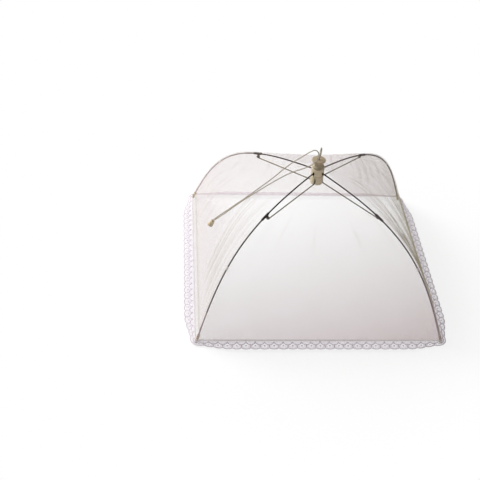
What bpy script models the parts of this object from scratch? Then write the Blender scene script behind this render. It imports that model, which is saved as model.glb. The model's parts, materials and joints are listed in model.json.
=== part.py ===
"""Pop-up square food cover: a net tent on four bowed spring-wire ribs, opened by a pull cord.

The origin is the middle of the base on the table, +Z is up, and all sizes are in metres.
The four arms lie on the diagonals. Each arm is drawn once along +X about its crown pivot,
and an empty on its joint axis turns it to its own corner. A runner below the crown pushes
the ribs apart through four wire stretchers. The net is clamped between cap and crown.
"""
import math

import bmesh
import bpy
import numpy as np
from mathutils import Matrix, Vector

# Clearances
SEAT_GAP = 0.0003           # between pieces that touch
RUN_GAP = 0.0004            # between pieces that turn or slide on each other
OVERRUN = 0.0040            # how far a cutter passes the face that it opens
WELD = 0.00001              # points nearer than this are one point

# Wires
RIB_WIRE = 0.0020           # diameter
STRETCHER_WIRE = 0.0016
RIB_RING_WIRE = 0.0011
RUNNER_RING_WIRE = 0.0009
CORD_DIAMETER = 0.0016

# The bow of a rib: its slope grows out to the shoulder, then settles into a straight leg
RIB_LENGTH = 0.3143         # along the bowed wire, from the crown to its end
RIB_START_SLOPE = math.radians(8.8)
RIB_SHOULDER_SHARE = 0.568
RIB_BEND_RADIUS = 0.1587    # at the shoulder, where the wire is bent most
RIB_STAND = 0.0029          # how far the wire's end stands above the table
RIB_POINTS = 27
EYE_PLAY = 0.0002
EYE_RADIUS = (RIB_WIRE + RIB_RING_WIRE) / 2 + EYE_PLAY
EYE_SWEEP = math.radians(246)
EYE_POINTS = 9
FINE_STEPS = 600

# Crown, under the net, measured from the ribs' pivots
CROWN_RADIUS = 0.0095
CROWN_RISE = 0.0086
CROWN_DROP = 0.0040
CROWN_ROUND = 0.0012
RIB_RING_INSET = 0.0019
PIVOT_REACH = CROWN_RADIUS - RIB_RING_INSET
CORD_BORE = CORD_DIAMETER + 2 * SEAT_GAP    # radius of the bore for the doubled cord

# Cap, above the net
CAP_HEIGHT = 0.0119
CAP_FLANGE_RADIUS = 0.0100
CAP_FLANGE_THICKNESS = 0.0029
CAP_EDGE = 0.0007
CAP_NECK_RADIUS = 0.0062
CAP_FOOT_RADIUS = 0.0092
CAP_FOOT_THICKNESS = 0.0018
SPIGOT_RADIUS = 0.0038
SPIGOT_LENGTH = 0.0040

# Runner, below the crown
RUNNER_RADIUS = 0.0092
RUNNER_HEIGHT = 0.0140
RUNNER_ROUND = 0.0016
RUNNER_RING_INSET = 0.0016
RUNNER_RING_RADIUS = RUNNER_RADIUS - RUNNER_RING_INSET
RUNNER_PIVOT_DROP = 0.0095
STRETCHER_EYE_PLAY = 0.00055
STRETCHER_EYE_RADIUS = (STRETCHER_WIRE + RUNNER_RING_WIRE) / 2 + STRETCHER_EYE_PLAY
STRETCHER_SLOT_RISE = 0.0062
KNOT_RADIUS = 0.0030

# Clip that joins a rib to its stretcher
CLIP_ARC = 0.1086           # along the rib, from the crown
CLIP_LENGTH = 0.0140
CLIP_WALL = 0.0005
CLIP_BORE = RIB_WIRE / 2 + SEAT_GAP
CLIP_PIVOT_SHIFT = 0.0021   # the rivet is this far nearer to the crown than the clip's middle
CLIP_PIVOT_DROP = 0.0037    # below the rib's centre line
EAR_RADIUS = 0.0023
EAR_START = CLIP_BORE + CLIP_WALL / 8
EAR_FACE = EAR_START + CLIP_WALL
RIVET_SHANK = 0.0011
RIVET_HEAD = 0.0026
RIVET_HEAD_THICKNESS = 0.0006
OUTER_EYE_PLAY = 0.00035
OUTER_EYE_RADIUS = (STRETCHER_WIRE + RIVET_SHANK) / 2 + OUTER_EYE_PLAY
EYE_MOUTH = math.radians(104)
SIDE_PLAY = 0.00034
STRETCHER_SIDE = EAR_FACE + SIDE_PLAY + STRETCHER_WIRE / 2     # it runs beside its rib

# Tip sleeve at the foot of a rib
TIP_LENGTH = 0.0140
TIP_WALL = 0.0007
TIP_RADIUS = RIB_WIRE / 2 + SEAT_GAP + TIP_WALL
TIP_END_WALL = 0.0042
TIP_ROUND = 0.0007

# Thread that ties the net to a rib
TIE_ARC = 0.2000
TIE_THREAD = 0.0007

# Net
NET_THICKNESS = 0.0006
NET_OVER_RIB = 0.0033       # from the rib's centre line to the inside of the net
NET_SEAM_GAP = 0.00025
NET_HOLE_EASE = 0.0007
NET_HOLE = SPIGOT_RADIUS + NET_HOLE_EASE    # half width of the hole round the cap's spigot
NET_STOPS_SHORT = 0.0024    # along the rib, from the hem to the wire's end
NET_SETTLE = 0.0120         # how quickly the net comes down from the crown onto the ribs
NET_WAIST = 0.0040          # how far the middle of a side is drawn in
NET_CORNER_CUT = 0.0036     # keeps the net off the tip sleeve
NET_CORNER_RUN = 0.0160
NET_ROWS = 14
NET_COLUMNS = 18
FOLD_HEIGHT = 0.0016
FOLDS_PER_HALF = 3
FOLD_EDGE_SHARE = 0.16      # of a half side, over which a fold dies out towards the rib

# Hem cord and lace edging
HEM_DIAMETER = 0.0020
HEM_CORNER_CUT = 0.0046
LACE_WIDTH = 0.0140
LACE_THICKNESS = 0.0006
LACE_SLOPE = math.radians(18)
LACE_CORNER_CUT = 0.0050
LACE_TUCK = 0.0550          # length over which the lace narrows towards a corner
LACE_CORNER_SHARE = 0.42    # of its width, left at the corner
SCALLOPS = 27
SCALLOP_DEPTH = 0.0039
SCALLOP_STEPS = 4

# Bell on the end of the pull cord
BELL_LENGTH = 0.0092
BELL_MOUTH_RADIUS = 0.0043
BELL_TOP_RADIUS = 0.0026
BELL_WALL = 0.0011
BELL_KNOT_RADIUS = 0.0019

ROUND_STEPS = 32
BELL_STEPS = 20
SLEEVE_STEPS = 16
SMALL_STEPS = 12
RING_SIDES = 8

CORNERS = {"front_right": -45.0, "back_right": 45.0, "back_left": 135.0, "front_left": 225.0}
SIDES = {"front": 0.0, "right": 90.0, "back": 180.0, "left": 270.0}

# The two strands of the pull cord outside the cap, in millimetres, as they lie in use
ROUTE_UNIT = 0.001
LOOP_REACH = 0.0360         # this much of each strand, next to the cap, is bent most
LOOP_SPACING = 2 * CORD_DIAMETER
CORD_SPACING = 3.4 * CORD_DIAMETER
CORD_ROUTE_A = [
    (0.8, 0.8, 195.4), (1.6, 1.0, 199.6), (2.4, 1.4, 204.6), (2.6, 1.5, 209.0), (2.3, 0.8, 212.8),
    (1.5, -1.0, 215.0), (0.6, -3.2, 215.0), (-0.1, -5.0, 212.8), (-0.6, -5.7, 209.0),
    (-0.9, -6.4, 204.8), (-1.8, -7.8, 201.0), (-4.2, -9.0, 198.0), (-8.4, -9.4, 194.0),
    (-15.6, -8.6, 187.8), (-24.0, -7.4, 182.8), (-33.0, -6.6, 178.6), (-43.0, -6.6, 173.4),
    (-55.5, -8.4, 166.8), (-69.1, -13.0, 160.3), (-82.6, -17.2, 153.1), (-95.1, -19.6, 145.0),
    (-106.9, -20.2, 135.7), (-118.1, -19.3, 125.1), (-128.5, -16.4, 112.9), (-140.5, -12.8, 99.4),
    (-149.0, -11.0, 91.0),
]
CORD_ROUTE_B = [
    (-0.8, -0.8, 195.4), (-0.9, -0.9, 199.6), (-1.3, -1.1, 203.6), (-2.4, -1.2, 207.2),
    (-4.6, -0.9, 209.8), (-8.0, -0.2, 210.2), (-12.4, 0.8, 207.4), (-21.2, 2.6, 199.6),
    (-30.0, 4.2, 191.6), (-39.0, 4.8, 183.6), (-49.0, 3.8, 174.8), (-60.5, 0.4, 165.0),
    (-72.4, -6.2, 158.5), (-84.1, -11.9, 152.0), (-95.6, -15.8, 144.4), (-107.3, -17.8, 135.2),
    (-118.5, -16.6, 124.6), (-129.0, -12.8, 112.1), (-140.5, -9.6, 99.6), (-149.0, -9.1, 91.0),
]
BELL_AT = (-151.5, -10.0, 86.4)
BELL_TOWARD = (0.49, 0.0, 0.87)


def new_collection(name):
    """A collection of its own under the scene."""
    made = bpy.data.collections.new(name)
    bpy.context.scene.collection.children.link(made)
    return made


def material(name, colour, roughness, metallic=0.0):
    """A Principled material with the part's own colour."""
    made = bpy.data.materials.new(name)
    made.use_nodes = True
    shader = made.node_tree.nodes["Principled BSDF"]
    shader.inputs["Base Color"].default_value = (*colour, 1.0)
    shader.inputs["Roughness"].default_value = roughness
    shader.inputs["Metallic"].default_value = metallic
    return made


def file_in(thing, group):
    """Files an object in one collection only."""
    for old in list(thing.users_collection):
        old.objects.unlink(thing)
    group.objects.link(thing)


def keep(thing, look, group):
    """Files a finished piece in the cover's collection and gives it its material."""
    file_in(thing, group)
    thing.data.materials.clear()
    thing.data.materials.append(look)
    return thing


def copy_of(thing, name, group, parent):
    """Another object on the same mesh or curve."""
    made = bpy.data.objects.new(name, thing.data)
    made.matrix_basis = thing.matrix_basis.copy()
    group.objects.link(made)
    made.parent = parent
    return made


def turned(name, profile, steps=ROUND_STEPS):
    """A turned piece from a closed outline of (radius, height), outer side first and downward."""
    mesh = bpy.data.meshes.new(name)
    points = [(radius, 0.0, height) for radius, height in profile]
    edges = [(i, (i + 1) % len(points)) for i in range(len(points))]
    if profile[0][0] == 0.0 and profile[-1][0] == 0.0:
        edges.pop()
    mesh.from_pydata(points, edges, [])
    made = bpy.data.objects.new(name, mesh)
    bpy.context.scene.collection.objects.link(made)
    screw = made.modifiers.new("turn", "SCREW")
    screw.axis = "Z"
    screw.steps = steps
    screw.render_steps = steps
    screw.use_merge_vertices = True
    screw.merge_threshold = WELD
    screw.use_smooth_shade = True
    return made


def tube(name, points, diameter):
    """A wire or cord: a poly curve with a round section and filled ends."""
    data = bpy.data.curves.new(name, "CURVE")
    data.dimensions = "3D"
    data.bevel_depth = diameter / 2
    data.bevel_resolution = 2
    data.use_fill_caps = True
    line = data.splines.new("POLY")
    line.points.add(len(points) - 1)
    for place, point in zip(line.points, points):
        place.co = (*point, 1.0)
    made = bpy.data.objects.new(name, data)
    bpy.context.scene.collection.objects.link(made)
    return made


def baked(thing):
    """Turns an object with its modifiers, or a curve, into a plain mesh with welded caps."""
    bpy.context.view_layer.update()
    ready = thing.evaluated_get(bpy.context.evaluated_depsgraph_get())
    mesh = bpy.data.meshes.new_from_object(ready)
    work = bmesh.new()
    work.from_mesh(mesh)
    bmesh.ops.remove_doubles(work, verts=work.verts, dist=WELD)
    work.to_mesh(mesh)
    work.free()
    name = thing.name
    made = bpy.data.objects.new(name, mesh)
    made.matrix_world = thing.matrix_world
    bpy.context.scene.collection.objects.link(made)
    bpy.data.objects.remove(thing)
    made.name = name
    return made


def moved(thing, matrix):
    """Moves a finished mesh inside its own object."""
    thing.data.transform(matrix @ thing.matrix_world)
    thing.matrix_world = Matrix.Identity(4)
    return thing


def box(name, low, high):
    """A block between two corners, from a unit cube."""
    bpy.ops.mesh.primitive_cube_add(size=1)
    made = bpy.context.object
    made.name = name
    spans = Vector(high) - Vector(low)
    middle = (Vector(high) + Vector(low)) / 2
    made.data.transform(Matrix.Translation(middle) @ Matrix.Diagonal((*spans, 1.0)))
    return made


def pin(name, radius, start, end, steps):
    """A short cylinder whose axis runs sideways, along +Y."""
    bpy.ops.mesh.primitive_cylinder_add(vertices=steps, radius=radius, depth=end - start)
    made = bpy.context.object
    made.name = name
    lay = Matrix.Rotation(math.pi / 2, 4, "X")
    made.data.transform(Matrix.Translation((0.0, (start + end) / 2, 0.0)) @ lay)
    return made


def ring(name, radius, wire, steps):
    """A closed wire ring lying flat."""
    bpy.ops.mesh.primitive_torus_add(
        major_radius=radius, minor_radius=wire / 2, major_segments=steps,
        minor_segments=RING_SIDES)
    made = bpy.context.object
    made.name = name
    return made


def ball(name, radius):
    """A small knot."""
    bpy.ops.mesh.primitive_uv_sphere_add(
        segments=SMALL_STEPS, ring_count=RING_SIDES, radius=radius)
    made = bpy.context.object
    made.name = name
    return made


def boolean(thing, other, operation, group):
    """Cuts or joins with the exact solver. The other object is kept as a wire guide."""
    step = thing.modifiers.new(operation.lower(), "BOOLEAN")
    step.object = other
    step.operation = operation
    step.solver = "EXACT"
    file_in(other, group)
    other.hide_render = True
    other.display_type = "WIRE"


def added_up(steps):
    """Running sums that start at nothing."""
    return np.concatenate([[0.0], np.cumsum(steps)])


def rib_bow(count):
    """A rib's centre line from its crown pivot: reach, height and slope at an even spacing.

    The curvature rises evenly from nothing at the crown to its greatest at the shoulder, and
    falls evenly to nothing at the foot, as a strut that is bent by its stretcher does.
    """
    arc = np.linspace(0.0, RIB_LENGTH, FINE_STEPS + 1)
    shoulder = RIB_LENGTH * RIB_SHOULDER_SHARE
    rising = arc / shoulder
    falling = (RIB_LENGTH - arc) / (RIB_LENGTH - shoulder)
    curve = np.minimum(rising, falling) / RIB_BEND_RADIUS
    step = RIB_LENGTH / FINE_STEPS
    slope = RIB_START_SLOPE + added_up((curve[1:] + curve[:-1]) * step / 2)
    middle = (slope[1:] + slope[:-1]) / 2
    reach = EYE_RADIUS * math.sin(RIB_START_SLOPE) + added_up(np.cos(middle) * step)
    height = EYE_RADIUS * math.cos(RIB_START_SLOPE) - added_up(np.sin(middle) * step)
    at = np.linspace(0.0, RIB_LENGTH, count)
    return tuple(np.interp(at, arc, row) for row in (reach, height, slope))


def on_rib(arc):
    """The centre line's reach, height and slope at one distance along the rib."""
    at = np.linspace(0.0, RIB_LENGTH, FINE_STEPS + 1)
    return tuple(float(np.interp(arc, at, row)) for row in rib_bow(FINE_STEPS + 1))


def crown_pivot_height():
    """The ribs stand on the table, so their drop sets the height of the crown pivots."""
    return RIB_STAND - on_rib(RIB_LENGTH)[1]


def clip_pivot():
    """The rivet from the rib's crown pivot, square below the rib's centre line."""
    reach, height, slope = on_rib(CLIP_ARC - CLIP_PIVOT_SHIFT)
    down = Vector((-math.sin(slope), 0.0, -math.cos(slope)))
    return Vector((reach, 0.0, height)) + CLIP_PIVOT_DROP * down


def runner_top():
    """The runner stands just below the crown when the cover is open."""
    return crown_pivot_height() - CROWN_DROP - RUN_GAP


def stretcher_pivot():
    """Where the runner's ring crosses the plane of a stretcher."""
    reach = math.sqrt(RUNNER_RING_RADIUS**2 - STRETCHER_SIDE**2)
    return Vector((reach, 0.0, runner_top() - RUNNER_PIVOT_DROP))


def clip_from_runner():
    """The rivet from the stretcher's pivot on the runner."""
    crown_pivot = Vector((PIVOT_REACH, 0.0, crown_pivot_height()))
    return crown_pivot + clip_pivot() - stretcher_pivot()


def eye_arc(centre, along, radius, start, sweep):
    """Points of a bent eye about a centre: start and sweep are angles from the wire's run."""
    across = Vector((along.z, 0.0, -along.x))
    turns = [start + sweep * i / (EYE_POINTS - 1) for i in range(EYE_POINTS)]
    return [centre + radius * (math.cos(t) * along - math.sin(t) * across) for t in turns]


def rib_wire():
    """One rib about its crown pivot: a bent eye, then the bowed wire."""
    along = Vector((math.cos(RIB_START_SLOPE), 0.0, -math.sin(RIB_START_SLOPE)))
    eye = eye_arc(Vector(), along, EYE_RADIUS, math.pi / 2 + EYE_SWEEP, -EYE_SWEEP)
    reach, height, slope = rib_bow(RIB_POINTS)
    bow = [Vector((x, 0.0, z)) for x, z in zip(reach, height)]
    return tube("rib_wire", eye + bow[1:], RIB_WIRE)


def clip(cutters):
    """A pressed steel sleeve round the rib, with one ear down its side for the rivet."""
    reach, height, slope = on_rib(CLIP_ARC)
    outer = CLIP_BORE + CLIP_WALL
    half = CLIP_LENGTH / 2
    sleeve = turned("rib_clip", [
        (outer, half), (outer, -half), (CLIP_BORE, -half), (CLIP_BORE, half)], SLEEVE_STEPS)
    lay = Matrix.Rotation(slope + math.pi / 2, 4, "Y")
    sleeve.matrix_world = Matrix.Translation((reach, 0.0, height)) @ lay
    sleeve = moved(baked(sleeve), Matrix.Identity(4))
    place = Matrix.Translation(clip_pivot())
    ear = box("ear", (-EAR_RADIUS, EAR_START, 0.0), (EAR_RADIUS, EAR_FACE, CLIP_PIVOT_DROP))
    ear.data.transform(place @ Matrix.Rotation(slope, 4, "Y"))
    toe = pin("ear_toe", EAR_RADIUS, EAR_START, EAR_FACE, SLEEVE_STEPS)
    toe.data.transform(place)
    hole = pin("ear_hole", RIVET_SHANK / 2 + SEAT_GAP, 0.0, EAR_FACE + OVERRUN, SMALL_STEPS)
    hole.data.transform(place)
    boolean(sleeve, ear, "UNION", cutters)
    boolean(sleeve, toe, "UNION", cutters)
    boolean(sleeve, hole, "DIFFERENCE", cutters)
    return baked(sleeve)


def rivet(name, shank_start, shank_end, head_thickness):
    """A headed rivet along +Y. The head is beyond the shank's end, on either side."""
    head = shank_end + head_thickness
    radius = RIVET_SHANK / 2
    profile = [(0.0, head), (RIVET_HEAD / 2, head), (RIVET_HEAD / 2, shank_end),
               (radius, shank_end), (radius, shank_start), (0.0, shank_start)]
    if head_thickness < 0.0:
        profile.reverse()
    made = turned(name, profile, SMALL_STEPS)
    made.matrix_world = Matrix.Rotation(-math.pi / 2, 4, "X")
    return baked(made)


def tip(cutters):
    """A moulded nylon sleeve over the rib's end, cut flat where it stands on the table."""
    reach, height, slope = on_rib(RIB_LENGTH)
    inner = RIB_WIRE / 2 + SEAT_GAP
    mouth = TIP_LENGTH - TIP_END_WALL
    made = turned("rib_tip", [
        (TIP_RADIUS, mouth), (TIP_RADIUS, TIP_ROUND - TIP_END_WALL),
        (TIP_RADIUS - TIP_ROUND, -TIP_END_WALL), (0.0, -TIP_END_WALL),
        (0.0, -SEAT_GAP), (inner, -SEAT_GAP), (inner, mouth)], SLEEVE_STEPS)
    lay = Matrix.Rotation(slope - math.pi / 2, 4, "Y")
    made.matrix_world = Matrix.Translation((reach, 0.0, height)) @ lay
    made = moved(baked(made), Matrix.Identity(4))
    table = height - RIB_STAND
    low = (reach - TIP_LENGTH, -TIP_LENGTH, table - TIP_LENGTH)
    high = (reach + TIP_LENGTH, TIP_LENGTH, table)
    boolean(made, box("table_cut", low, high), "DIFFERENCE", cutters)
    return baked(made)


def thread_tie():
    """A turn of thread round the rib, which holds the net to it."""
    reach, height, slope = on_rib(TIE_ARC)
    radius = (RIB_WIRE + TIE_THREAD) / 2 + SEAT_GAP
    made = ring("thread_tie", radius, TIE_THREAD, SMALL_STEPS)
    lay = Matrix.Rotation(slope + math.pi / 2, 4, "Y")
    return moved(made, Matrix.Translation((reach, 0.0, height)) @ lay)


def stretcher():
    """One stretcher about its runner pivot: an eye at each end of a straight wire."""
    run = clip_from_runner()
    along = run.normalized()
    sweep = 2 * math.pi - EYE_MOUTH
    near = eye_arc(Vector(), along, STRETCHER_EYE_RADIUS, -math.pi / 2 - sweep, sweep)
    far = eye_arc(run, along, OUTER_EYE_RADIUS, -math.pi / 2, sweep)
    side = Vector((0.0, STRETCHER_SIDE, 0.0))
    return tube("stretcher", [point + side for point in near + far], STRETCHER_WIRE)


def slot_boxes(name, low, high):
    """The same slot, turned to each corner."""
    made = []
    for place, angle in CORNERS.items():
        slot = box(name + "_" + place, low, high)
        slot.data.transform(Matrix.Rotation(math.radians(angle), 4, "Z"))
        made.append(slot)
    return made


def groove_cutter(name, radius, wire, ring_height, floor):
    """The channel that takes a wire ring from below."""
    half = wire / 2 + SEAT_GAP
    roof = ring_height + half
    return baked(turned(name, [
        (radius + half, roof), (radius + half, floor),
        (radius - half, floor), (radius - half, roof)]))


def hub_body(name, outline, cuts, cutters):
    """A moulded hub: a turned body, then radial slots and a ring groove cut into it."""
    body = turned(name, outline)
    for cutter in cuts:
        boolean(body, cutter, "DIFFERENCE", cutters)
    return body


def crown(cutters):
    """The crown carries the ribs: four radial slots, and a groove below for the wire ring."""
    pivot = crown_pivot_height()
    top = pivot + CROWN_RISE
    bottom = pivot - CROWN_DROP
    seat = top - SPIGOT_LENGTH
    eye_out = EYE_RADIUS + RIB_WIRE / 2 + RUN_GAP
    slot_half = RIB_WIRE / 2 + RUN_GAP
    slots = slot_boxes(
        "crown_slot", (PIVOT_REACH - eye_out, -slot_half, bottom - OVERRUN),
        (CROWN_RADIUS + OVERRUN, slot_half, pivot + eye_out))
    groove = groove_cutter("crown_groove", PIVOT_REACH, RIB_RING_WIRE, pivot, bottom - OVERRUN)
    outline = [
        (CROWN_RADIUS - CROWN_ROUND, top), (CROWN_RADIUS, top - CROWN_ROUND),
        (CROWN_RADIUS, bottom + CROWN_ROUND / 2), (CROWN_RADIUS - CROWN_ROUND / 2, bottom),
        (CORD_BORE, bottom), (CORD_BORE, seat),
        (SPIGOT_RADIUS + SEAT_GAP, seat), (SPIGOT_RADIUS + SEAT_GAP, top)]
    return hub_body("rib_crown", outline, slots + [groove], cutters)


def cap():
    """The cap clamps the net on the crown, and its spool neck guides the cord."""
    crown_top = crown_pivot_height() + CROWN_RISE
    foot = crown_top + 2 * SEAT_GAP + NET_THICKNESS
    top = foot + CAP_HEIGHT
    flange_under = top - CAP_FLANGE_THICKNESS
    foot_top = foot + CAP_FOOT_THICKNESS
    spigot_end = crown_top - SPIGOT_LENGTH + SEAT_GAP
    return turned("spool_cap", [
        (CAP_FLANGE_RADIUS - CAP_EDGE, top), (CAP_FLANGE_RADIUS, top - CAP_EDGE),
        (CAP_FLANGE_RADIUS, flange_under + CAP_EDGE), (CAP_FLANGE_RADIUS - CAP_EDGE, flange_under),
        (CAP_NECK_RADIUS + CAP_EDGE, flange_under), (CAP_NECK_RADIUS, flange_under - CAP_EDGE),
        (CAP_NECK_RADIUS, foot_top + 2 * CAP_EDGE),
        (CAP_NECK_RADIUS + CAP_EDGE, foot_top + CAP_EDGE / 2),
        (CAP_FOOT_RADIUS - CAP_EDGE / 2, foot + CAP_FOOT_THICKNESS / 2), (CAP_FOOT_RADIUS, foot),
        (SPIGOT_RADIUS, foot), (SPIGOT_RADIUS, spigot_end), (CORD_BORE, spigot_end),
        (CORD_BORE, top - CAP_EDGE), (CORD_BORE + CAP_EDGE, top)])


def cap_top():
    """The height of the cap's flat top, where the cord comes out."""
    return crown_pivot_height() + CROWN_RISE + 2 * SEAT_GAP + NET_THICKNESS + CAP_HEIGHT


def knot_roof():
    """The top of the pocket that takes the cord's knot, in the runner's underside."""
    return runner_top() - RUNNER_HEIGHT + 2 * KNOT_RADIUS + SEAT_GAP


def runner(cutters):
    """The runner slides below the crown and carries the stretchers on its own ring."""
    top = runner_top()
    bottom = top - RUNNER_HEIGHT
    pivot = stretcher_pivot()
    eye_out = STRETCHER_EYE_RADIUS + STRETCHER_WIRE / 2 + RUN_GAP
    slot_half = STRETCHER_WIRE / 2 + RUN_GAP
    slots = slot_boxes(
        "runner_slot", (pivot.x - eye_out, STRETCHER_SIDE - slot_half, bottom - OVERRUN),
        (RUNNER_RADIUS + OVERRUN, STRETCHER_SIDE + slot_half, pivot.z + STRETCHER_SLOT_RISE))
    groove = groove_cutter(
        "runner_groove", RUNNER_RING_RADIUS, RUNNER_RING_WIRE, pivot.z, bottom - OVERRUN)
    knot_seat = KNOT_RADIUS + SEAT_GAP
    outline = [
        (RUNNER_RADIUS - RUNNER_ROUND, top), (RUNNER_RADIUS, top - RUNNER_ROUND),
        (RUNNER_RADIUS, bottom + RUNNER_ROUND / 2), (RUNNER_RADIUS - RUNNER_ROUND / 2, bottom),
        (knot_seat, bottom), (knot_seat, knot_roof()), (CORD_BORE, knot_roof()), (CORD_BORE, top)]
    return hub_body("runner", outline, slots + [groove], cutters)


def seam_line(count):
    """Reach and height of the inside of the net along a corner, from the hub to the hem.

    It lies flat on the crown, comes down onto the rib, and then follows the rib. The third
    row is the distance along the rib.
    """
    pivot = crown_pivot_height()
    reach, height, slope = rib_bow(FINE_STEPS + 1)
    arc = np.linspace(0.0, RIB_LENGTH, FINE_STEPS + 1)
    over_reach = PIVOT_REACH + reach + NET_OVER_RIB * np.sin(slope)
    over_height = pivot + height + NET_OVER_RIB * np.cos(slope)
    rim = (CROWN_RADIUS + RUN_GAP) * math.sqrt(2)
    start = float(np.interp(rim, over_reach, arc))
    hub_height = pivot + CROWN_RISE + SEAT_GAP
    lift = hub_height - float(np.interp(rim, over_reach, over_height))
    at = np.linspace(start, RIB_LENGTH - NET_STOPS_SHORT, count - 1)
    out = np.interp(at, arc, over_reach)
    up = np.interp(at, arc, over_height) + lift * np.exp(-(out - rim) / NET_SETTLE)
    out = np.concatenate([[NET_HOLE * math.sqrt(2)], out])
    up = np.concatenate([[hub_height], up])
    along = np.concatenate([[0.0], at])
    return out, up, along


def net_panel():
    """One side of the net: straight level lines from corner to corner, drawn in at the waist.

    Tension folds stand out of it in lines that run from the hub down to the hem.
    """
    out, up, along = seam_line(NET_ROWS + 1)
    bpy.ops.mesh.primitive_grid_add(x_subdivisions=NET_COLUMNS, y_subdivisions=NET_ROWS, size=2)
    made = bpy.context.object
    made.name = "net"
    mesh = made.data
    flat = np.empty(len(mesh.vertices) * 3)
    mesh.vertices.foreach_get("co", flat)
    flat = flat.reshape(-1, 3)
    across = flat[:, 0]
    row = np.rint((1 - flat[:, 1]) / 2 * NET_ROWS).astype(int)
    depth = out / math.sqrt(2)
    run_depth = np.gradient(depth)
    run_height = np.gradient(up)
    size = np.hypot(run_depth, run_height)
    foot = along[-1] - along
    margin = NET_SEAM_GAP + NET_CORNER_CUT * np.clip(1 - foot / NET_CORNER_RUN, 0.0, 1.0)
    body_share = np.sin(math.pi * along / along[-1]) ** 2
    waist = NET_WAIST * (1 - across**2)
    folds = FOLD_HEIGHT * np.sin(math.pi * FOLDS_PER_HALF * across) ** 2
    folds = folds * np.clip((1 - np.abs(across)) / FOLD_EDGE_SHARE, 0.0, 1.0)
    lift = (folds - waist) * body_share[row] / size[row]
    places = np.empty_like(flat)
    places[:, 0] = across * (depth[row] - margin[row])
    places[:, 1] = -(depth[row] - lift * run_height[row])
    places[:, 2] = up[row] + lift * run_depth[row]
    mesh.vertices.foreach_set("co", places.ravel())
    mesh.update()
    shell = made.modifiers.new("net_thickness", "SOLIDIFY")
    shell.thickness = NET_THICKNESS
    shell.offset = 1.0
    shell.use_even_offset = True
    return baked(made)


def hem_place():
    """Depth and height of the hem's centre, just past the net's lower edge."""
    out, up, along = seam_line(NET_ROWS + 1)
    depth = out / math.sqrt(2)
    run = Vector((float(depth[-1] - depth[-2]), float(up[-1] - up[-2]))).normalized()
    past = HEM_DIAMETER / 2 + SEAT_GAP
    side = NET_THICKNESS / 2
    hem_depth = float(depth[-1]) + past * run.x - side * run.y
    hem_height = float(up[-1]) + past * run.y + side * run.x
    return hem_depth, hem_height


def hem():
    """The rolled hem along one side of the base."""
    depth, height = hem_place()
    end = depth - HEM_CORNER_CUT
    return tube("hem", [Vector((-end, -depth, height)), Vector((end, -depth, height))], HEM_DIAMETER)


def lace_share(near):
    """The share of its width that the lace keeps at a distance from the corner."""
    t = min(near / LACE_TUCK, 1.0)
    return LACE_CORNER_SHARE + (1 - LACE_CORNER_SHARE) * t * t * (3 - 2 * t)


def lace():
    """A flat lace edging, scalloped outside, that leans from the hem out to the table."""
    depth, height = hem_place()
    off = HEM_DIAMETER / 2 + SEAT_GAP
    inner = depth + off * math.cos(LACE_SLOPE)
    top = height - off * math.sin(LACE_SLOPE)
    half = depth - LACE_CORNER_CUT
    pitch = 2 * half / SCALLOPS
    outline = [(half, 0.0), (-half, 0.0)]
    for i in range(SCALLOPS):
        for j in range(SCALLOP_STEPS):
            share = j / SCALLOP_STEPS
            x = -half + (i + share) * pitch
            fall = LACE_WIDTH - SCALLOP_DEPTH * (1 - math.sin(math.pi * share))
            outline.append((x, -fall * lace_share(depth - abs(x))))
    outline.append((half, (SCALLOP_DEPTH - LACE_WIDTH) * lace_share(depth - half)))
    data = bpy.data.curves.new("lace", "CURVE")
    data.dimensions = "2D"
    data.fill_mode = "BOTH"
    data.extrude = LACE_THICKNESS / 2
    edge = data.splines.new("POLY")
    edge.points.add(len(outline) - 1)
    for place, (x, y) in zip(edge.points, outline):
        place.co = (x, y, 0.0, 1.0)
    edge.use_cyclic_u = True
    made = bpy.data.objects.new("lace", data)
    bpy.context.scene.collection.objects.link(made)
    lean = Matrix.Rotation(LACE_SLOPE, 4, "X")
    made.matrix_world = Matrix.Translation((0.0, -inner, top)) @ lean
    return made


def smooth_route(route):
    """A smooth curve through hand-chosen points, read closely near the cap and wider beyond."""
    given = np.array(route) * ROUTE_UNIT
    chord = added_up(np.linalg.norm(np.diff(given, axis=0), axis=1))
    slope = np.gradient(given, chord, axis=0)
    fine = np.linspace(0.0, chord[-1], FINE_STEPS * 2)
    cell = np.clip(np.searchsorted(chord, fine, side="right") - 1, 0, len(chord) - 2)
    width = (chord[cell + 1] - chord[cell])[:, None]
    t = (fine - chord[cell])[:, None] / width
    from_start = (2 * t**3 - 3 * t**2 + 1) * given[cell] + (t**3 - 2 * t**2 + t) * width * slope[cell]
    to_end = (3 * t**2 - 2 * t**3) * given[cell + 1] + (t**3 - t**2) * width * slope[cell + 1]
    curve = from_start + to_end
    length = added_up(np.linalg.norm(np.diff(curve, axis=0), axis=1))
    loop = np.arange(0.0, LOOP_REACH, LOOP_SPACING)
    rest = np.linspace(LOOP_REACH, length[-1], int(round((length[-1] - LOOP_REACH) / CORD_SPACING)) + 1)
    at = np.concatenate([loop, rest])
    columns = [np.interp(at, length, curve[:, k]) for k in range(3)]
    return [Vector(point) for point in zip(*columns)]


def inner_cord(name, side):
    """Inside the bores the cord runs doubled, from the knot to the cap's mouth."""
    off = side * (CORD_DIAMETER / 2 + SEAT_GAP) / math.sqrt(2)
    return tube(name, [Vector((off, off, knot_roof())), Vector((off, off, cap_top()))], CORD_DIAMETER)


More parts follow.
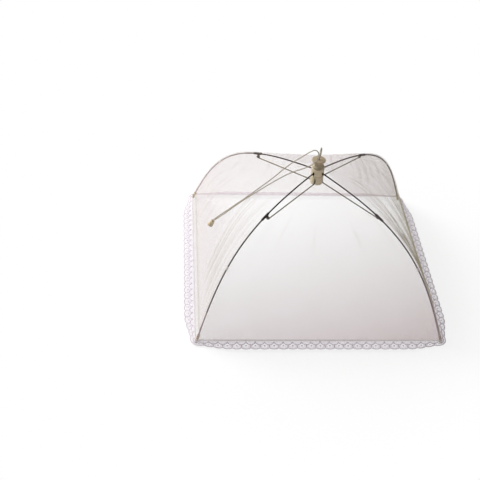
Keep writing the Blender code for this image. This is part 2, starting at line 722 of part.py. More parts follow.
def bell():
    """The moulded bell on the cord's end, open below, with a hole for the cord on top."""
    half = BELL_LENGTH / 2
    floor = half - 2 * BELL_WALL
    return baked(turned("pull_bell", [
        (BELL_TOP_RADIUS, half), (BELL_TOP_RADIUS + BELL_WALL / 2, half - BELL_WALL / 2),
        (BELL_TOP_RADIUS + BELL_WALL, 0.0), (BELL_MOUTH_RADIUS, -half + BELL_WALL),
        (BELL_MOUTH_RADIUS, -half), (BELL_MOUTH_RADIUS - BELL_WALL, -half),
        (BELL_TOP_RADIUS, -BELL_WALL), (BELL_TOP_RADIUS, floor),
        (BELL_KNOT_RADIUS, floor), (BELL_KNOT_RADIUS, half)], BELL_STEPS))


def make_hub(cover, cutters, plastic, wire, cotton):
    """Crown, cap and runner on the middle axis, with their wire rings and the cord's knot."""
    keep(crown(cutters), plastic, cover)
    keep(cap(), plastic, cover)
    keep(runner(cutters), plastic, cover)
    rib_ring = ring("rib_ring", PIVOT_REACH, RIB_RING_WIRE, ROUND_STEPS)
    keep(moved(rib_ring, Matrix.Translation((0.0, 0.0, crown_pivot_height()))), wire, cover)
    runner_ring = ring("runner_ring", RUNNER_RING_RADIUS, RUNNER_RING_WIRE, ROUND_STEPS)
    keep(moved(runner_ring, Matrix.Translation((0.0, 0.0, stretcher_pivot().z))), wire, cover)
    knot_height = knot_roof() - SEAT_GAP - KNOT_RADIUS
    knot = moved(ball("runner_knot", KNOT_RADIUS), Matrix.Translation((0.0, 0.0, knot_height)))
    keep(knot, cotton, cover)
    keep(inner_cord("inner_cord_a", 1), cotton, cover)
    keep(inner_cord("inner_cord_b", -1), cotton, cover)


def make_arms(cover, cutters, plastic, spring, wire, steel, cotton):
    """Four arms, drawn once about their pivots and turned to the corners on their joint axes."""
    inner_rivet = rivet("clip_rivet", EAR_FACE, EAR_START - SEAT_GAP, -RIVET_HEAD_THICKNESS)
    eye_face = STRETCHER_SIDE + STRETCHER_WIRE / 2 + SEAT_GAP
    outer_rivet = rivet("eye_rivet", EAR_FACE + SEAT_GAP, eye_face, RIVET_HEAD_THICKNESS)
    on_rib_pieces = [
        keep(rib_wire(), spring, cover), keep(clip(cutters), steel, cover),
        keep(tip(cutters), plastic, cover), keep(thread_tie(), cotton, cover),
        keep(moved(inner_rivet, Matrix.Translation(clip_pivot())), steel, cover)]
    on_runner_pieces = [
        keep(stretcher(), wire, cover),
        keep(moved(outer_rivet, Matrix.Translation(clip_from_runner())), steel, cover)]
    crown_pivot = Vector((PIVOT_REACH, 0.0, crown_pivot_height()))
    for place, angle in CORNERS.items():
        turn = Matrix.Rotation(math.radians(angle), 4, "Z")
        arms = [("rib_pivot_", crown_pivot, on_rib_pieces),
                ("stretcher_pivot_", stretcher_pivot(), on_runner_pieces)]
        for name, pivot, pieces in arms:
            hinge = bpy.data.objects.new(name + place, None)
            hinge.matrix_world = turn @ Matrix.Translation(pivot)
            cover.objects.link(hinge)
            for piece in pieces:
                copy_of(piece, piece.name + "_" + place, cover, hinge)
    for piece in on_rib_pieces + on_runner_pieces:
        bpy.data.objects.remove(piece)


def make_sides(cover, net_cloth, lace_cloth):
    """Net, hem and lace, drawn once for the front and turned to each side."""
    drawn = [keep(net_panel(), net_cloth, cover), keep(hem(), net_cloth, cover),
             keep(lace(), lace_cloth, cover)]
    for place, angle in SIDES.items():
        turn = Matrix.Rotation(math.radians(angle), 4, "Z")
        for piece in drawn:
            made = copy_of(piece, piece.name + "_" + place, cover, None)
            made.matrix_world = turn @ piece.matrix_world
    for piece in drawn:
        bpy.data.objects.remove(piece)


def make_pull(cover, plastic, cotton):
    """The pull cord outside the cap, and the bell and knot on its end."""
    keep(tube("pull_cord_a", smooth_route(CORD_ROUTE_A), CORD_DIAMETER), cotton, cover)
    keep(tube("pull_cord_b", smooth_route(CORD_ROUTE_B), CORD_DIAMETER), cotton, cover)
    toward = Vector(BELL_TOWARD).to_track_quat("Z", "Y").to_matrix().to_4x4()
    place = Matrix.Translation(Vector(BELL_AT) * ROUTE_UNIT) @ toward
    keep(moved(bell(), place), plastic, cover)
    keep(moved(ball("bell_knot", BELL_KNOT_RADIUS), place), cotton, cover)


def build():
    """Makes every piece in a scene of its own."""
    for old in list(bpy.data.objects):
        bpy.data.objects.remove(old)
    cover = new_collection("food_cover")
    cutters = new_collection("cutters")
    plastic = material("white_plastic", (0.80, 0.78, 0.72), 0.45)
    spring = material("spring_steel", (0.16, 0.13, 0.10), 0.38, 0.9)
    wire = material("bright_wire", (0.45, 0.41, 0.33), 0.35, 0.9)
    steel = material("clip_steel", (0.24, 0.21, 0.18), 0.40, 0.9)
    net_cloth = material("net_cloth", (0.86, 0.83, 0.82), 0.80)
    lace_cloth = material("lace_cloth", (0.88, 0.85, 0.88), 0.85)
    cotton = material("cord_cotton", (0.72, 0.69, 0.64), 0.85)
    make_hub(cover, cutters, plastic, wire, cotton)
    make_arms(cover, cutters, plastic, spring, wire, steel, cotton)
    make_sides(cover, net_cloth, lace_cloth)
    make_pull(cover, plastic, cotton)


build()
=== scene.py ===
"""The pop-up net food cover, dressed for its photograph.

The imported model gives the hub, the wires, the clips and the tips. The pull cord, the net, its
hem and its lace are worked out here, in metres, in the model's own frame.
"""
import json
import math

import bpy
import numpy as np
from mathutils import Matrix, Vector


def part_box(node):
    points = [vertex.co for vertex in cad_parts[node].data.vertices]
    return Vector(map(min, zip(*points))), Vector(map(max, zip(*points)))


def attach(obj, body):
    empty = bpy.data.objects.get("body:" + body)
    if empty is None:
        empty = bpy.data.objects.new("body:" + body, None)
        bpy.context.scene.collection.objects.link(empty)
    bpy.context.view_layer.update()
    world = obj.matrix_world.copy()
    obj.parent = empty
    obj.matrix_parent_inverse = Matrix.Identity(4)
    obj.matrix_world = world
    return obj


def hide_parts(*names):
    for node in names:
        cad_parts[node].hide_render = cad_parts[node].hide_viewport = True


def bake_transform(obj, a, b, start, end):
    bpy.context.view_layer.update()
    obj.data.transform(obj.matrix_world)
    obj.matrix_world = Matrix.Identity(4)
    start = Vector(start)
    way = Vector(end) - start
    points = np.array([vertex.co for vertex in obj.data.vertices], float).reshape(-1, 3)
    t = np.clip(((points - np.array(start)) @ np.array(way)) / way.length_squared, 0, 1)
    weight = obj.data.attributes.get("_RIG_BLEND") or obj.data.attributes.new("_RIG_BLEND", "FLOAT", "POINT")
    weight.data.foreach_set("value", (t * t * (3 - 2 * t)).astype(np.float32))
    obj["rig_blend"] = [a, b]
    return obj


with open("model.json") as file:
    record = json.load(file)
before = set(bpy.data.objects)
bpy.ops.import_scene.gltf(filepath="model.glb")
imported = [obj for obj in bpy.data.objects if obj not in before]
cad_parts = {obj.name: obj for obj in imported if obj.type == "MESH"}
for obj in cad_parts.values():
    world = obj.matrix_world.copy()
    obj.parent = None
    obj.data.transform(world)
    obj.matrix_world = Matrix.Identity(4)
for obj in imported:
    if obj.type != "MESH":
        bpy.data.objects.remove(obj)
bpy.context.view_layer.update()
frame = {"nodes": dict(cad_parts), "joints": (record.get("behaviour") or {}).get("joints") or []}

# The view. The cover stands on white paper, and the camera looks down on it from the front,
# a little to its left. Its place and lens were fitted to the corners, ribs and hub.
CAMERA_AT = (-0.20897, -1.16297, 0.95946)
CAMERA_PITCH = 0.6637       # below level, in radians
CAMERA_YAW = -0.0879        # to the right of +Y
CAMERA_ROLL = 0.0622
LENS = 73.0                 # on a 36 mm sensor

right_way = Matrix.Rotation(CAMERA_YAW, 3, "Z")
look = right_way @ Matrix.Rotation(math.pi / 2 - CAMERA_PITCH, 3, "X")
look = look @ Matrix.Rotation(CAMERA_ROLL, 3, "Z")
camera = bpy.data.objects.new("camera", bpy.data.cameras.new("camera"))
camera.data.lens = LENS
camera.data.sensor_width = 36
camera.matrix_world = Matrix.Translation(CAMERA_AT) @ look.to_4x4()
bpy.context.scene.collection.objects.link(camera)
bpy.context.scene.camera = camera
bpy.context.scene.view_settings.view_transform = "Standard"


# The pull cord. One braided cotton cord, 1.6 mm thick, doubled: it runs up through the cap,
# stands out of it and falls over the net's left shoulder, and both ends are in the bell.
CORD_DIAMETER = 0.0016
CORD_SPACING = 0.0005       # between the rings of the drawn tube
CORD_SIDES = 12
PLAIT_STRANDS = 3
PLAIT_DEPTH = 0.09          # of the radius
PLAIT_RUN = 0.0042          # a strand goes half way round in this length
PLAIT_WAVE = 0.42           # scale of a slanted wave that repeats every 1.5 mm
CORD_FLECKS = 2.4           # of fuzz, in a millimetre
ROUTE_STEPS = 1200          # on the whole curve, before its points are spaced evenly
CORD_ROUTE_A = [
    (0.0008, 0.0008, 0.1954), (0.0016, 0.0010, 0.1996), (0.0024, 0.0014, 0.2046),
    (0.0026, 0.0015, 0.2090), (0.0023, 0.0008, 0.2128), (0.0015, -0.0010, 0.2150),
    (0.0006, -0.0032, 0.2150), (-0.0001, -0.0050, 0.2128), (-0.0006, -0.0057, 0.2090),
    (-0.0009, -0.0064, 0.2048), (-0.0018, -0.0078, 0.2010), (-0.0042, -0.0090, 0.1980),
    (-0.0084, -0.0094, 0.1940), (-0.0156, -0.0086, 0.1878), (-0.0240, -0.0074, 0.1828),
    (-0.0330, -0.0066, 0.1786), (-0.0430, -0.0066, 0.1734), (-0.0555, -0.0084, 0.1668),
    (-0.0691, -0.0130, 0.1603), (-0.0826, -0.0172, 0.1531), (-0.0951, -0.0196, 0.1450),
    (-0.1069, -0.0202, 0.1357), (-0.1181, -0.0193, 0.1251), (-0.1285, -0.0164, 0.1129),
    (-0.1405, -0.0128, 0.0994), (-0.1490, -0.0110, 0.0910),
]
CORD_ROUTE_B = [
    (-0.0008, -0.0008, 0.1954), (-0.0009, -0.0009, 0.1996), (-0.0013, -0.0011, 0.2036),
    (-0.0024, -0.0012, 0.2072), (-0.0046, -0.0009, 0.2098), (-0.0080, -0.0002, 0.2102),
    (-0.0124, 0.0008, 0.2074), (-0.0212, 0.0026, 0.1996), (-0.0300, 0.0042, 0.1916),
    (-0.0390, 0.0048, 0.1836), (-0.0490, 0.0038, 0.1748), (-0.0605, 0.0004, 0.1650),
    (-0.0724, -0.0062, 0.1585), (-0.0841, -0.0119, 0.1520), (-0.0956, -0.0158, 0.1444),
    (-0.1073, -0.0178, 0.1352), (-0.1185, -0.0166, 0.1246), (-0.1290, -0.0128, 0.1121),
    (-0.1405, -0.0096, 0.0996), (-0.1490, -0.0091, 0.0910),
]
# The points of each route from which its slack turns with the bell
SLACK_FROM_A, SLACK_FROM_B = 19, 13


def linear(code):
    """The linear colour of an sRGB hex code."""
    shares = [int(code[i:i + 2], 16) / 255 for i in (1, 3, 5)]
    return (*(s / 12.92 if s <= 0.04045 else ((s + 0.055) / 1.055) ** 2.4 for s in shares), 1.0)


def feed(tree, made, links):
    """Links each source to the named socket of a shader node."""
    for key, source in links.items():
        tree.links.new(source, made.inputs[key])


def node(tree, kind, values=None, links=None):
    """Adds one shader node, with its settings, socket values, a ramp's stops, and what feeds it."""
    made = tree.nodes.new("ShaderNode" + kind)
    for key, value in (values or {}).items():
        if key == "stops":
            for place, code in value[2:]:
                made.color_ramp.elements.new(place)
            for element, (place, code) in zip(made.color_ramp.elements, sorted(value)):
                element.position = place
                element.color = linear(code)
        elif isinstance(key, str) and hasattr(made, key):
            setattr(made, key, value)
        else:
            made.inputs[key].default_value = value
    feed(tree, made, links or {})
    return made


def finish(name, values):
    """A new material, and its Principled shader with plain values set on its own sockets."""
    made = bpy.data.materials.new(name)
    made.use_nodes = True
    shader = made.node_tree.nodes["Principled BSDF"]
    for key, value in values.items():
        shader.inputs[key].default_value = value
    return made, made.node_tree, shader


def unit(rows):
    """Rows of vectors, each made one long."""
    return rows / np.linalg.norm(rows, axis=-1, keepdims=True)


def added_up(steps):
    """Running sums that start at nothing."""
    return np.concatenate([[0.0], np.cumsum(steps)])


def mesh_piece(name, points, faces, look):
    """A piece made of these points and faces, in one finish."""
    mesh = bpy.data.meshes.new(name)
    mesh.from_pydata(points.reshape(-1, 3).tolist(), [], faces)
    mesh.materials.append(look)
    made = bpy.data.objects.new(name, mesh)
    bpy.context.scene.collection.objects.link(made)
    return made


def grid_piece(name, points, look, closed=False, capped=False):
    """A surface through a grid of points, rows by columns, as quads between neighbours.

    A closed grid joins each row's last point to its first, and a capped one has its first and
    last rows filled, as a tube has.
    """
    rows, columns = points.shape[:2]
    index = np.arange(rows * columns).reshape(rows, columns)
    ahead = np.roll(index, -1, axis=1)
    last = columns if closed else columns - 1
    quads = np.stack([index[:-1], ahead[:-1], ahead[1:], index[1:]], axis=-1)[:, :last]
    faces = quads.reshape(-1, 4).tolist()
    if capped:
        faces += [index[0][::-1].tolist(), index[-1].tolist()]
    made = mesh_piece(name, points, faces, look)
    made.data.polygons.foreach_set("use_smooth", np.ones(len(made.data.polygons), bool))
    return made


def carried(path, section, sky):
    """A section carried along a path, square to it: side is square to the sky direction.

    section holds (side, rise) pairs, either once or for each point of the path.
    """
    along = unit(np.gradient(path, axis=0))
    side = unit(np.cross(along, np.broadcast_to(sky, along.shape)))
    rise = np.cross(side, along)
    section = np.broadcast_to(section, (len(path), section.shape[-2], 2))
    return (path[:, None] + section[:, :, :1] * side[:, None] + section[:, :, 1:] * rise[:, None])


def write_row(piece, name, *columns):
    """Keeps a vector for each point of a mesh, for its material to read."""
    rows = np.stack(np.broadcast_arrays(*columns), axis=-1)
    made = piece.data.attributes.new(name, "FLOAT_VECTOR", "POINT")
    made.data.foreach_set("vector", rows.astype(np.float32).ravel())


def smooth_route(route, spacing):
    """A Hermite curve through the route's points, read at an even spacing."""
    given = np.array(route)
    chord = added_up(np.linalg.norm(np.diff(given, axis=0), axis=1))
    slope = np.gradient(given, chord, axis=0)
    fine = np.linspace(0.0, chord[-1], ROUTE_STEPS)
    cell = np.clip(np.searchsorted(chord, fine, side="right") - 1, 0, len(chord) - 2)
    width = (chord[cell + 1] - chord[cell])[:, None]
    t = (fine - chord[cell])[:, None] / width
    curve = ((2 * t**3 - 3 * t**2 + 1) * given[cell] + (t**3 - 2 * t**2 + t) * width * slope[cell]
             + (3 * t**2 - 2 * t**3) * given[cell + 1] + (t**3 - t**2) * width * slope[cell + 1])
    length = added_up(np.linalg.norm(np.diff(curve, axis=0), axis=1))
    at = np.linspace(0.0, length[-1], int(round(length[-1] / spacing)) + 1)
    return np.stack([np.interp(at, length, curve[:, k]) for k in range(3)], axis=1)


def braided_cotton():
    """Braided cotton cord, undyed: matt and slightly fuzzy, with painted shade in the grooves of the plait.
    """
    made, tree, shader = finish("braided_cotton_cord", {"Roughness": 0.88, "Sheen Weight": 0.25})
    place = node(tree, "Attribute", {"attribute_name": "cord_mm"}).outputs["Vector"]
    strands = node(tree, "TexWave", {"Scale": PLAIT_WAVE, "Distortion": 1.2,
                                     "bands_direction": "DIAGONAL"}, {"Vector": place})
    fuzz = node(tree, "TexNoise", {"Scale": CORD_FLECKS, "Detail": 3.0}, {"Vector": place})
    # Painted shade: the plait's wave darkens the grooves between its strands, over a fuzz
    shade = node(tree, "Mix", {"data_type": "FLOAT", "Factor": 0.45},
                 {2: strands.outputs["Fac"], 3: fuzz.outputs["Fac"]}).outputs[0]
    tone = node(tree, "ValToRGB", {"stops": [(0.1, "#7c7364"), (0.8, "#bab1a1")]}, {"Fac": shade})
    bump = node(tree, "Bump", {"Strength": 0.4, "Distance": 0.0002}, {"Height": shade})
    feed(tree, shader, {"Base Color": tone.outputs["Color"], "Normal": bump.outputs["Normal"]})
    return made


cotton = braided_cotton()


def cord_piece(name, route, nodes):
    """The cord as a tube whose radius swells and sinks in turning strands.

    At distance s and angle q the radius is R (1 - depth |sin(n / 2 (q - pi s / run))|), with n
    strands.
    """
    path = smooth_route(route, CORD_SPACING)
    far = added_up(np.linalg.norm(np.diff(path, axis=0), axis=1))
    turn = np.linspace(0.0, 2 * math.pi, CORD_SIDES, endpoint=False)
    groove = np.abs(np.sin(PLAIT_STRANDS / 2 * (turn[None] - math.pi * far[:, None] / PLAIT_RUN)))
    radius = CORD_DIAMETER / 2 * (1 - PLAIT_DEPTH * groove)
    section = np.stack([radius * np.cos(turn), radius * np.sin(turn)], axis=-1)
    made = grid_piece(name, carried(path, section, (0.0, 1.0, 0.0)), cotton, closed=True, capped=True)
    write_row(made, "cord_mm", far[:, None] * 1000, turn[None] * CORD_DIAMETER / 2 * 1000, 0.0)
    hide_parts(*nodes)
    return made, path, float(far[-1])


strand_a, path_a, length_a = cord_piece("cord_strand_a", CORD_ROUTE_A, ["pull_cord_a"])
strand_b, path_b, length_b = cord_piece("cord_strand_b", CORD_ROUTE_B, ["pull_cord_b"])
# The slack doubles back from the net's shoulder when the bell turns up to the cap
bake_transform(strand_a, "hub", "pull", CORD_ROUTE_A[SLACK_FROM_A], CORD_ROUTE_A[-1])
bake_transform(strand_b, "hub", "pull", CORD_ROUTE_B[SLACK_FROM_B], CORD_ROUTE_B[-1])


# The net. Fine white polyester tulle, four sides sewn together along the ribs, clamped under
# the cap and tied down at the corners. It is one stretched skin with creases fanning from the
# hub, and where it is gathered its threads lie closer and it turns from clear to milky. Its tone
# is darkened towards olive by painted shade: most on the right and towards the hem, and beside the creases.
CORNERS = {"front_right": -45.0, "back_right": 45.0, "back_left": 135.0, "front_left": 225.0}
RIB_LENGTH = 0.3143
RIB_START_SLOPE = math.radians(8.8)
RIB_SHOULDER_SHARE = 0.568
RIB_BEND_RADIUS = 0.1587
RIB_EYE_RADIUS = 0.00175
NET_OVER_RIB = 0.0027
NET_STOPS_SHORT = 0.0024
NET_SETTLE = 0.0120
NET_WAIST = 0.0040
NET_HOLE = 0.0050
NET_HUB_REACH = 0.0140
NET_ABOVE_CROWN = 0.0006
NET_ROWS = 180
CLAMPED_ROWS = 4            # of these, under the cap
RIB_STEPS = 1200            # on the rib's worked-out bow
NET_COLUMNS = 241           # across a quarter, from mid side to mid side
CLAMPED_REACH = 0.0100      # the net under the cap stays with the hub
FREE_REACH = 0.0380         # from here out the seam follows its rib
THREAD_PITCH = 1.25         # mm from thread to thread, as on real tulle
THREAD_EDGE = 0.015         # of the pitch, on each side of a thread's soft edge
TONE_CLOUDS = 0.02          # in a millimetre
HEX_HALF = (0.5, math.sqrt(3) / 2)      # half a repeat of six-sided holes, in pitches

# Each fan of creases: its side, how many, where they lie across at the top (from, to) and at
# the foot (from, to), where they leave the one and reach the other on the way down, where
# they start and stop, half width as a share of half the side, height in mm, and how much more
# light their threads stop, which also sets their painted shade
FANS = [
    ("front", 5, -0.86, 0.86, -0.95, 0.95, 0.10, 1.00, 0.06, 0.60, 0.020, 0.5, 0.08),
    ("right", 14, -0.64, 0.34, -0.97, -0.56, 0.12, 0.60, 0.02, 0.92, 0.013, 1.0, 0.15),
    ("right", 9, 0.12, 0.94, -0.46, 0.32, 0.24, 0.72, 0.05, 0.96, 0.015, 0.9, 0.13),
    ("right", 4, 0.55, 0.96, 0.40, 0.93, 0.20, 0.95, 0.26, 0.94, 0.018, 0.8, 0.12),
    ("left", 12, 0.10, 0.99, 0.44, 0.97, 0.32, 0.84, 0.10, 0.94, 0.0095, 0.6, 0.20),
    ("left", 7, -0.74, 0.02, -0.80, 0.30, 0.30, 0.95, 0.36, 0.96, 0.016, 0.6, 0.08),
    ("back", 11, -0.80, 0.90, -0.92, 0.95, 0.20, 0.95, 0.14, 0.85, 0.014, 0.6, 0.10),
    ("back", 6, -0.97, -0.50, -0.94, -0.58, 0.20, 0.95, 0.20, 0.95, 0.014, 0.7, 0.13),
]
CREASE_WANDER = 0.30        # of the space between two creases
CREASE_LATE = 0.12          # of the way down, from its fan's start to its own on average
CREASE_SWING = 0.10         # how much sooner or later it swings to its foot
CREASE_GROW = 0.22          # of the way down, from its start to its full height
CREASE_DIE, CREASE_DIE_VARY = 0.16, 0.08        # the same before its end
CREASE_VARY = {"width": 0.4, "rise": 0.5, "close": 0.4}     # of each value
CREASE_SHADE = 0.8          # its threads lie closest, and its painted shade is darkest, this many half widths beside its crest
CREASE_SEAM_SHARE = 0.06    # of a half side, over which creases die out to the rib
FULL_SHADE_AT = 0.34          # the light that creases stop where their painted shade makes the tone fully olive
# Painted shade on the plain net on each side, at the top and at the hem: how far its tone turns olive
NET_PAINTED_SHADE = {"front": (0.0, 0.0), "right": (0.15, 0.75), "back": (0.10, 0.25), "left": (0.10, 0.20)}
SLACK_FROM, SLACK_RUN = 0.50, 0.22      # the right side hangs slack and double below here
SLACK_VEIL = 0.16
# How much light the plain net stops on each side, at the top, at the hem, and more to the right.
# On the front, the rise towards the hem and to the right is painted shade
VEIL = {"front": (0.03, 0.59, 0.15), "right": (0.24, 0.52, -0.08), "back": (0.27, 0.23, -0.14),
        "left": (0.05, 0.44, 0.0)}
SLACK_ACROSS = 1.1          # where it has died out across, from its full strength at 0.1
LOOSE_FOLD = 0.950          # the left side has one level fold here; below it the net is single
LOOSE_FOLD_HALF = 0.010     # half its width, of the way down
LOOSE_FOLD_RISE = 0.0012
LOOSE_FOLD_VEIL = 0.16
SINGLE_VEIL = 0.24          # how much less light it stops there
SINGLE_RUN = 0.012          # of the way down, from the one to the other
VEIL_LEAST, VEIL_MOST = 0.02, 0.80
SIDES = {"front": 0.0, "right": 90.0, "back": 180.0, "left": 270.0}
SIDES_AT = {
    "front_right": ("front", "right"), "back_right": ("right", "back"),
    "back_left": ("back", "left"), "front_left": ("left", "front")}


def smooth_step(share):
    """Nothing up to 0, one from 1 on, and an even S between."""
    share = np.clip(share, 0.0, 1.0)
    return share * share * (3 - 2 * share)


def rib_line():
    """Arc, reach, height and slope along the middle of a rib, from its pivot to its foot.

    Its curvature rises evenly to its greatest at the shoulder and falls evenly to the foot.
    """
    joint = next(j for j in frame["joints"] if j["name"] == "rib_front_right_fold")
    pivot_reach = math.hypot(joint["pos_m"][0], joint["pos_m"][1])
    arc = np.linspace(0.0, RIB_LENGTH, RIB_STEPS + 1)
    shoulder = RIB_LENGTH * RIB_SHOULDER_SHARE
    curve = np.minimum(arc / shoulder, (RIB_LENGTH - arc) / (RIB_LENGTH - shoulder)) / RIB_BEND_RADIUS
    step = arc[1]
    slope = RIB_START_SLOPE + added_up((curve[1:] + curve[:-1]) * step / 2)
    middle = (slope[1:] + slope[:-1]) / 2
    reach = pivot_reach + RIB_EYE_RADIUS * math.sin(RIB_START_SLOPE) + added_up(np.cos(middle) * step)
    height = joint["pos_m"][2] + RIB_EYE_RADIUS * math.cos(RIB_START_SLOPE)
    return arc, reach, height - added_up(np.sin(middle) * step), slope


def seam_line():
    """Reach, height and distance along the net's corner seam, from the hub to the hem.

    The seam runs over the rib at a set distance, and comes down onto it from the crown by a
    falling exponential.
    """
    arc, reach, height, slope = rib_line()
    over_reach = reach + NET_OVER_RIB * np.sin(slope)
    over_height = height + NET_OVER_RIB * np.cos(slope)
    start = float(np.interp(NET_HUB_REACH, over_reach, arc))
    crown_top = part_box("rib_crown")[1][2] + NET_ABOVE_CROWN
    lift = crown_top - float(np.interp(NET_HUB_REACH, over_reach, over_height))
    at = np.linspace(start, RIB_LENGTH - NET_STOPS_SHORT, NET_ROWS - CLAMPED_ROWS)
    out = np.interp(at, arc, over_reach)
    up = np.interp(at, arc, over_height) + lift * np.exp(-(out - NET_HUB_REACH) / NET_SETTLE)
    flat = np.linspace(NET_HOLE * math.sqrt(2), NET_HUB_REACH, CLAMPED_ROWS + 1)[:-1]
    out = np.concatenate([flat, out])
    up = np.concatenate([np.full(len(flat), crown_top), up])
    along = added_up(np.hypot(np.diff(out), np.diff(up)))
    return out, up, along


seam_out, seam_up, seam_along = seam_line()


def creases(side, across, down):
    """Height of a side's creases, how much light the net stops there, and its painted shade.

    Each crease is a bell curve about a line that swings from its top to its foot. Neighbours
    differ in strength and place by a fixed table of chances.
    """
    top, hem, more = VEIL[side]
    height = np.zeros(np.broadcast_shapes(across.shape, down.shape))
    veil = height + top + (hem - top) * down**2 + more * across * down
    # The side's painted shade. Below, each crease adds both veil and painted shade.
    plain = NET_PAINTED_SHADE[side][0] + (NET_PAINTED_SHADE[side][1] - NET_PAINTED_SHADE[side][0]) * down
    crowd_and_shade = np.zeros_like(height)
    chance = np.random.default_rng(len(side))
    for place, count, top_a, top_b, foot_a, foot_b, leave, arrive, start, stop, width, rise, close in FANS:
        if place != side:
            continue
        for i in range(count):
            slip, long, strong, wide = chance.uniform(-1.0, 1.0, 4)
            share = np.clip((i + slip * CREASE_WANDER) / max(count - 1, 1), 0.0, 1.0)
            begin = start + CREASE_LATE * (1 + long)
            sweep = smooth_step((down - leave) / (arrive - leave) + CREASE_SWING * long)
            line = top_a + (top_b - top_a) * share
            line = line + (foot_a + (foot_b - foot_a) * share - line) * sweep
            fade = smooth_step((down - begin) / CREASE_GROW)
            fade = fade * smooth_step((stop - down) / (CREASE_DIE + CREASE_DIE_VARY * slip))
            off = (across - line) / (width * (1 + CREASE_VARY["width"] * wide))
            crest = rise / 1000 * (1 + CREASE_VARY["rise"] * strong)
            height += crest * np.exp(-(off**2)) * fade
            closer = close * (1 + CREASE_VARY["close"] * strong)
            crowd_and_shade += closer * np.exp(-((off - CREASE_SHADE) ** 2)) * fade
    if side == "left":
        fold = np.exp(-(((down - LOOSE_FOLD) / LOOSE_FOLD_HALF) ** 2)) * np.ones_like(across)
        height += LOOSE_FOLD_RISE * fold
        crowd_and_shade += LOOSE_FOLD_VEIL * fold
        veil -= SINGLE_VEIL * smooth_step((down - LOOSE_FOLD) / SINGLE_RUN)
    if side == "right":
        slack = smooth_step((down - SLACK_FROM) / SLACK_RUN) * smooth_step(SLACK_ACROSS - across)
        crowd_and_shade += SLACK_VEIL * slack
    veil = np.clip(veil + crowd_and_shade, VEIL_LEAST, VEIL_MOST)
    return height, veil, np.clip(plain + crowd_and_shade / FULL_SHADE_AT, 0.0, 1.0)


def side_skin(side, across):
    """Points of one side of the net, rows down by columns across, its holes and its tone.

    Level lines run straight from seam to seam. They are drawn in at the waist by a bow in
    across and a sine in the way down, and the creases stand out square to the skin.
    """
    down = (seam_along / seam_along[-1])[:, None]
    depth = (seam_out / math.sqrt(2))[:, None]
    run_out = np.gradient(seam_out / math.sqrt(2), seam_along)[:, None]
    run_up = np.gradient(seam_up, seam_along)[:, None]
    size = np.hypot(run_out, run_up)
    across = across[None]
    height, veil, olive = creases(side, across, down)
    body = np.sin(math.pi * np.clip(down, 0, 1)) ** 2
    edge = np.clip((1 - np.abs(across)) / CREASE_SEAM_SHARE, 0.0, 1.0)
    lift = (height * edge - NET_WAIST * (1 - across**2) * body) / size
    x = across * depth
    y = -(depth - lift * run_up)
    z = seam_up[:, None] + lift * run_out
    turn = math.radians(SIDES[side])
    points = np.stack(np.broadcast_arrays(
        x * math.cos(turn) - y * math.sin(turn), x * math.sin(turn) + y * math.cos(turn), z), axis=-1)
    hole = np.sqrt(1 - veil) / 2
    cloth = np.stack(np.broadcast_arrays(x * 1000, seam_along[:, None] * 1000, hole), axis=-1)
    return points, cloth, olive


